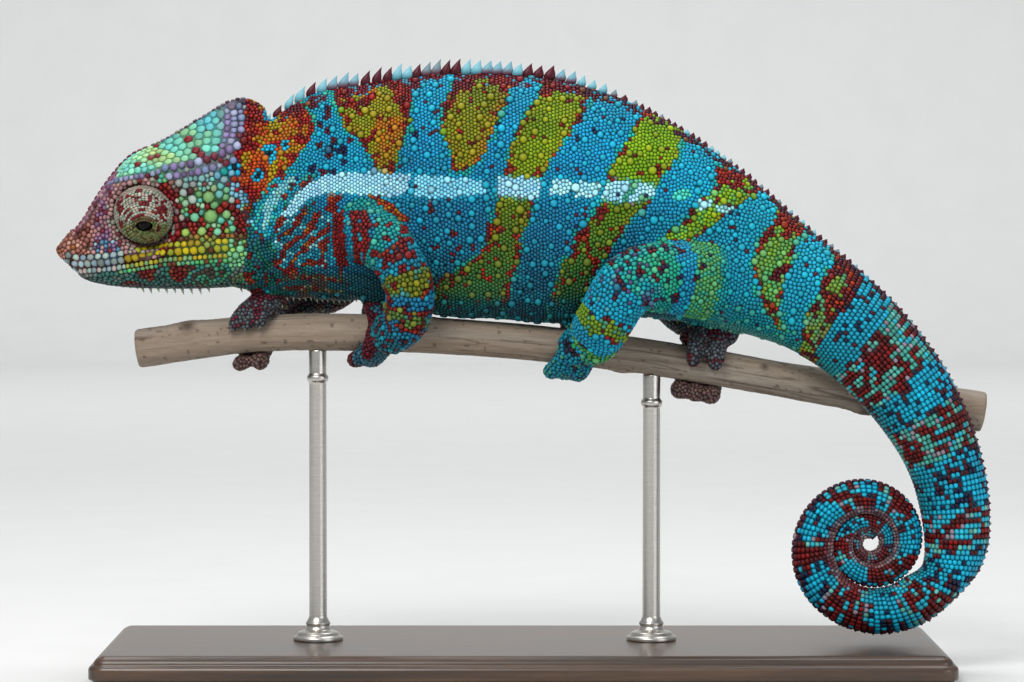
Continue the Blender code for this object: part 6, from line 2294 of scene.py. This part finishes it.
def build_branch():
    rows, sides = 520, 104
    s = np.linspace(0, BRANCH.length, rows)
    a = np.linspace(0, 2 * np.pi, sides, endpoint=False)
    ss, aa = np.meshgrid(s, a, indexing="ij")
    row = BRANCH.at(ss)
    along = BRANCH.direction(ss)
    up = np.array([0.0, 0.0, 1.0]) - along * along[..., 2:3]
    up = unit(up)
    out = np.cross(along, up)

    def bark_places(stretch):
        """Places for the bark's noise, along the branch by the stretch and round it."""
        return np.stack([ss.ravel() * stretch, np.cos(aa.ravel()) * 5, np.sin(aa.ravel()) * 5], 1)

    flat = bark_places(0.05)
    ridges = noise(flat, 0.95, 81) * 0.55 + noise(flat, 0.42, 82) * 0.45
    crack = np.exp(-((noise(flat * [0.8, 1, 1], 1.3, 83) / 0.05) ** 2)) * (noise(flat, 2.6, 88) > 0.05)
    lumps = noise(bark_places(0.5), 9.0, 84)
    grain = noise(bark_places(0.5), 0.8, 85)
    push = 0.20 * ridges + 0.22 * lumps + 0.06 * grain - 0.26 * crack
    # dark: partly the bark's own darker fissures, and partly painted shade in the cracks.
    dark = crack * 0.5
    for x, deg, wide, tall in KNOTS:
        at = branch_s(x)
        turn = np.arctan2(np.sin(aa - math.radians(deg)), np.cos(aa - math.radians(deg))) * 5
        d = np.hypot(ss - at, turn).ravel()
        push += tall * np.exp(-((d / wide) ** 2)) - 0.55 * tall * np.exp(-((d / (wide * 0.35)) ** 2))
        push += 0.08 * np.sin(d * 4.0) * np.exp(-((d / (wide * 1.5)) ** 2))
        # Darker at each knot's middle: partly the knot's own colour, and partly painted shade in its hollow.
        dark = np.maximum(dark, 0.75 * np.exp(-((d / (wide * 0.42)) ** 2)))
    ends = np.minimum(ss, BRANCH.length - ss).ravel()
    push -= 0.5 * np.exp(-ends / 0.35)
    reach = (row[..., 3] + push.reshape(ss.shape))[..., None]
    v = row[..., :3] + reach * (up * np.cos(aa)[..., None] + out * np.sin(aa)[..., None])
    c = ramp(ridges * 0.6 + lumps * 0.4,
             [(-1.0, (96, 84, 72)), (-0.3, (122, 111, 99)), (0.2, (138, 127, 114)), (1.0, (156, 146, 132))])
    warm = smooth(0.5 + noise(flat, 3.5, 86))
    c = mix(c, (128, 104, 84), warm * 0.4)
    lichen = noise(bark_places(1.0), 1.1, 87) > 0.66
    c = put(c, lichen, mix(c, (74, 58, 46), 0.55))
    c = mix(c, (58, 44, 34), dark)
    verts = [v.reshape(-1, 3)]
    tints = [linear(c)]
    tris = halves(tube_quads(rows, sides))
    start = rows * sides
    here, ahead = np.arange(sides), (np.arange(sides) + 1) % sides
    for end, flip in ((0, -1), (rows - 1, 1)):
        rim = v[end]
        centre = row[end, 0, :3]
        forward = along[end, 0] * flip
        previous = end * sides
        for k, share in enumerate((0.93, 0.86, 0.7, 0.52, 0.34, 0.16)):
            out = 0.28 - 0.12 * (k % 2) - (0.25 if share > 0.9 else 0)
            ring = centre + (rim - centre) * share + forward * out
            verts.append(ring)
            tone = (92, 74, 58) if share > 0.9 else ((206, 182, 142) if k % 2 else (178, 150, 110))
            tints.append(np.tile(linear(tone), (sides, 1)))
            a0, a1, b0, b1 = previous + here, previous + ahead, start + here, start + ahead
            tris += [np.stack([a0, a1, b1], 1)[:, ::flip], np.stack([a0, b1, b0], 1)[:, ::flip]]
            previous = start
            start += sides
        verts.append(centre[None] + forward * 0.1)
        tints.append(linear([(120, 92, 64)]))
        tris.append(np.stack([previous + here, previous + ahead, np.full(sides, start)], 1)[:, ::flip])
        start += 1
    verts, tris = np.concatenate(verts), np.concatenate(tris)
    obj = mesh_from("branch_bark", verts, outward(verts, tris), np.concatenate(tints), None)
    material, nodes, links, shader = shader_of("bark", 0.82)
    fibre = noise_node(nodes, links, 1.0, 5.0, (160, 2600, 2600), 0.65).outputs["Fac"]
    multiplied(nodes, links, shader, tint_of(nodes), ranged(nodes, links, fibre, 0.62, 1.38))
    links.new(ranged(nodes, links, fibre, 0.9, 0.7), shader.inputs["Roughness"])
    bump(nodes, links, shader, fibre, 0.7, 0.0003)
    finish_piece(obj, material)
    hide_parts("perch_branch")


# ------------------------------------------------------------------ stand
def closed_solid(name, rings):
    """A mesh round the rings of points, with a flat face at each end."""
    rows, sides = len(rings), len(rings[0])
    verts, tris = np.concatenate(rings), halves(tube_quads(rows, sides))
    for k, flip in ((0, 1), ((rows - 1) * sides, -1)):
        tris.append(np.array([(k, k + n + 1, k + n)[::flip] for n in range(1, sides - 1)]))
    tris = np.concatenate(tris)
    return mesh_from(name, verts, outward(verts, tris), np.ones((len(verts), 3)), None)


def lathe(name, profile, x, y, sides=64):
    a = np.linspace(0, 2 * np.pi, sides, endpoint=False)
    rings = [np.stack([x + r * np.cos(a), y + r * np.sin(a), np.full(sides, z)], 1) for r, z in profile]
    return closed_solid(name, rings)


def soft(points, each=4):
    """The profile with every corner rounded by a small arc."""
    points = [np.array(p, float) for p in points]
    out = [tuple(points[0])]
    for a, b, c in zip(points, points[1:], points[2:]):
        reach = min(0.35, np.linalg.norm(b - a) / 2.2, np.linalg.norm(c - b) / 2.2)
        start, end = b + unit(a - b) * reach, b + unit(c - b) * reach
        for t in np.linspace(0, 1, each):
            out.append(tuple((1 - t) ** 2 * start + 2 * t * (1 - t) * b + t * t * end))
    out.append(tuple(points[-1]))
    return out


BASE_CORNER = 5.0


def build_stand():
    metal, nodes, links, shader = shader_of("satin_steel", 0.3, Metallic=1.0)
    turned = noise_node(nodes, links, 1.0, 2.0, (300, 300, 9000)).outputs["Fac"]
    tone = toned(nodes, links, turned, (0, (0.40, 0.38, 0.35)), (1, (0.66, 0.63, 0.58)))
    links.new(tone, shader.inputs["Base Color"])
    links.new(ranged(nodes, links, turned, 0.22, 0.4), shader.inputs["Roughness"])
    bump(nodes, links, shader, turned, 0.15, 0.00006)
    for name, x in ROD_PLACES.items():
        low, high = (np.array(c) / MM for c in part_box(name))
        y = (low[1] + high[1]) / 2
        top = high[2]
        profile = soft([
            (0.5, 8.0), (7.0, 8.0), (7.0, 9.1), (6.2, 9.5), (5.6, 10.4), (3.6, 11.0), (3.1, 12.2),
            (3.6, 12.8), (3.1, 13.4),
            (2.5, 14.6), (2.4, top - 9.5), (3.0, top - 8.7), (3.0, top - 7.7), (2.4, top - 7.0),
            (2.5, top - 0.6), (2.2, top - 0.1), (0.3, top - 0.1),
        ])
        obj = lathe(f"{name}_turned", profile, x, y)
        finish_piece(obj, metal)
        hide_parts(name)
    wood, nodes, links, shader = shader_of("dark_walnut", 0.4, Coat_Weight=0.35, Coat_Roughness=0.18)
    fibre = noise_node(nodes, links, 1.0, 6.0, (12, 260, 260), 0.6).outputs["Fac"]
    pores = noise_node(nodes, links, 1.0, 2.0, (160, 2400, 2400), 0.5).outputs["Fac"]
    tone = toned(nodes, links, fibre, (0.3, (0.022, 0.011, 0.006)), (0.5, (0.055, 0.027, 0.013)),
                 (0.72, (0.115, 0.058, 0.028)))
    multiplied(nodes, links, shader, tone, ranged(nodes, links, pores, 0.7, 1.25))
    links.new(ranged(nodes, links, fibre, 0.32, 0.5), shader.inputs["Roughness"])
    bump(nodes, links, shader, pores, 0.2, 0.0001)
    low, high = (np.array(c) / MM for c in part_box("stand_base"))
    half = (high - low) / 2
    profile = soft([(2.5, 0.0), (1.2, 0.0), (1.2, 1.2), (0.0, 1.6), (0.0, 4.4), (0.5, 5.2), (1.4, 5.6),
                    (1.5, 6.3), (2.2, 7.2), (3.6, 7.9), (4.2, 8.0), (8.0, 8.0)])
    outline = [
        (cx, cy, math.cos(math.radians(deg)), math.sin(math.radians(deg)))
        for cx, cy, first in ((1, 1, 0), (-1, 1, 90), (-1, -1, 180), (1, -1, 270))
        for deg in np.linspace(first, first + 90, 9)
    ]
    rings = []
    for inset, z in profile:
        r = max(BASE_CORNER - inset, 0.6)
        rings.append(np.array([
            (cx * (half[0] - inset - r) + r * c, cy * (half[1] - inset - r) + r * w, z) for cx, cy, c,
            w in outline]))
    obj = closed_solid("stand_base_moulded", rings)
    finish_piece(obj, wood)
    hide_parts("stand_base")


# ------------------------------------------------------------------ stage, lights, camera
FLOOR_REACH, WALL_Y, WALL_TOP, COVE_RADIUS = 4000, 2400, 2600, 320


def build_stage():
    """A floor that rises in a curve to a wall behind."""
    r, bend_y = COVE_RADIUS, WALL_Y - COVE_RADIUS
    profile = [(-FLOOR_REACH, 0), (-400, 0), (bend_y, 0)]
    for deg in np.linspace(-90, 0, 14):
        profile.append((bend_y + r * math.cos(math.radians(deg)), r + r * math.sin(math.radians(deg))))
    profile.append((WALL_Y, WALL_TOP))
    verts, faces = [], []
    for y, z in profile:
        verts += [(-FLOOR_REACH * MM, y * MM, z * MM), (FLOOR_REACH * MM, y * MM, z * MM)]
    for i in range(len(profile) - 1):
        faces.append((2 * i, 2 * i + 1, 2 * i + 3, 2 * i + 2))
    mesh = bpy.data.meshes.new("studio_floor")
    mesh.from_pydata(verts, [], faces)
    mesh.shade_smooth()
    floor = bpy.data.objects.new("studio_floor", mesh)
    bpy.context.scene.collection.objects.link(floor)
    material, nodes, links, shader = shader_of("pale_floor", 0.8)
    grain = noise_node(nodes, links, 30).outputs["Fac"]
    links.new(toned(nodes, links, grain, (0, (0.66, 0.66, 0.65)), (1, (0.71, 0.71, 0.70))),
              shader.inputs["Base Color"])
    mesh.materials.append(material)


def area(name, place, target, size, power, colour=(1, 1, 1)):
    data = bpy.data.lights.new(name, "AREA")
    data.shape = "RECTANGLE"
    data.size, data.size_y = size
    data.energy = power
    data.color = colour
    obj = bpy.data.objects.new(name, data)
    obj.location = place
    obj.rotation_euler = (Vector(target) - Vector(place)).to_track_quat("-Z", "Y").to_euler()
    bpy.context.scene.collection.objects.link(obj)


def build_lights():
    aim = (0, 0, 0.1)
    area("key", (-0.35, -0.75, 0.85), aim, (0.6, 0.45), 9.5, (1.0, 0.985, 0.96))
    area("fill", (0.9, -0.8, 0.35), aim, (0.7, 0.6), 3.2, (0.94, 0.97, 1.0))
    area("top", (0.05, 0.25, 0.95), aim, (0.8, 0.5), 6.0)
    area("backdrop", (0.0, 1.2, 1.2), (0.0, 2.4, 0.25), (2.4, 0.4), 16.0)
    world = bpy.data.worlds.new("studio")
    bpy.context.scene.world = world
    world.use_nodes = True
    background = world.node_tree.nodes["Background"]
    background.inputs["Color"].default_value = (0.80, 0.84, 0.88, 1)
    background.inputs["Strength"].default_value = 0.5


CAMERA_LENS, CAMERA_DISTANCE, CAMERA_RISE_DEG, CAMERA_TARGET = 135.0, 1075.0, 2.0, (-3.1, 0.0, 92.0)


def build_camera():
    data = bpy.data.cameras.new("camera")
    data.lens, data.sensor_width = CAMERA_LENS, 36.0
    camera = bpy.data.objects.new("camera", data)
    bpy.context.scene.collection.objects.link(camera)
    up = math.radians(CAMERA_RISE_DEG)
    target = np.array(CAMERA_TARGET)
    place = target + CAMERA_DISTANCE * np.array([0, -math.cos(up), math.sin(up)])
    camera.location = Vector(place * MM)
    camera.rotation_euler = Vector((target - place) * MM).to_track_quat("-Z", "Y").to_euler()
    bpy.context.scene.camera = camera


skin = build_skin()
flesh = [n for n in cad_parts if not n.startswith(("stand_", "perch_", "eyeball_"))]
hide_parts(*flesh)
build_coat()
build_spines()
build_throat_spines()
build_claws()
build_eyeballs()
build_branch()
build_stand()
build_stage()
build_lights()
build_camera()

bpy.context.scene.view_settings.view_transform = "Standard"
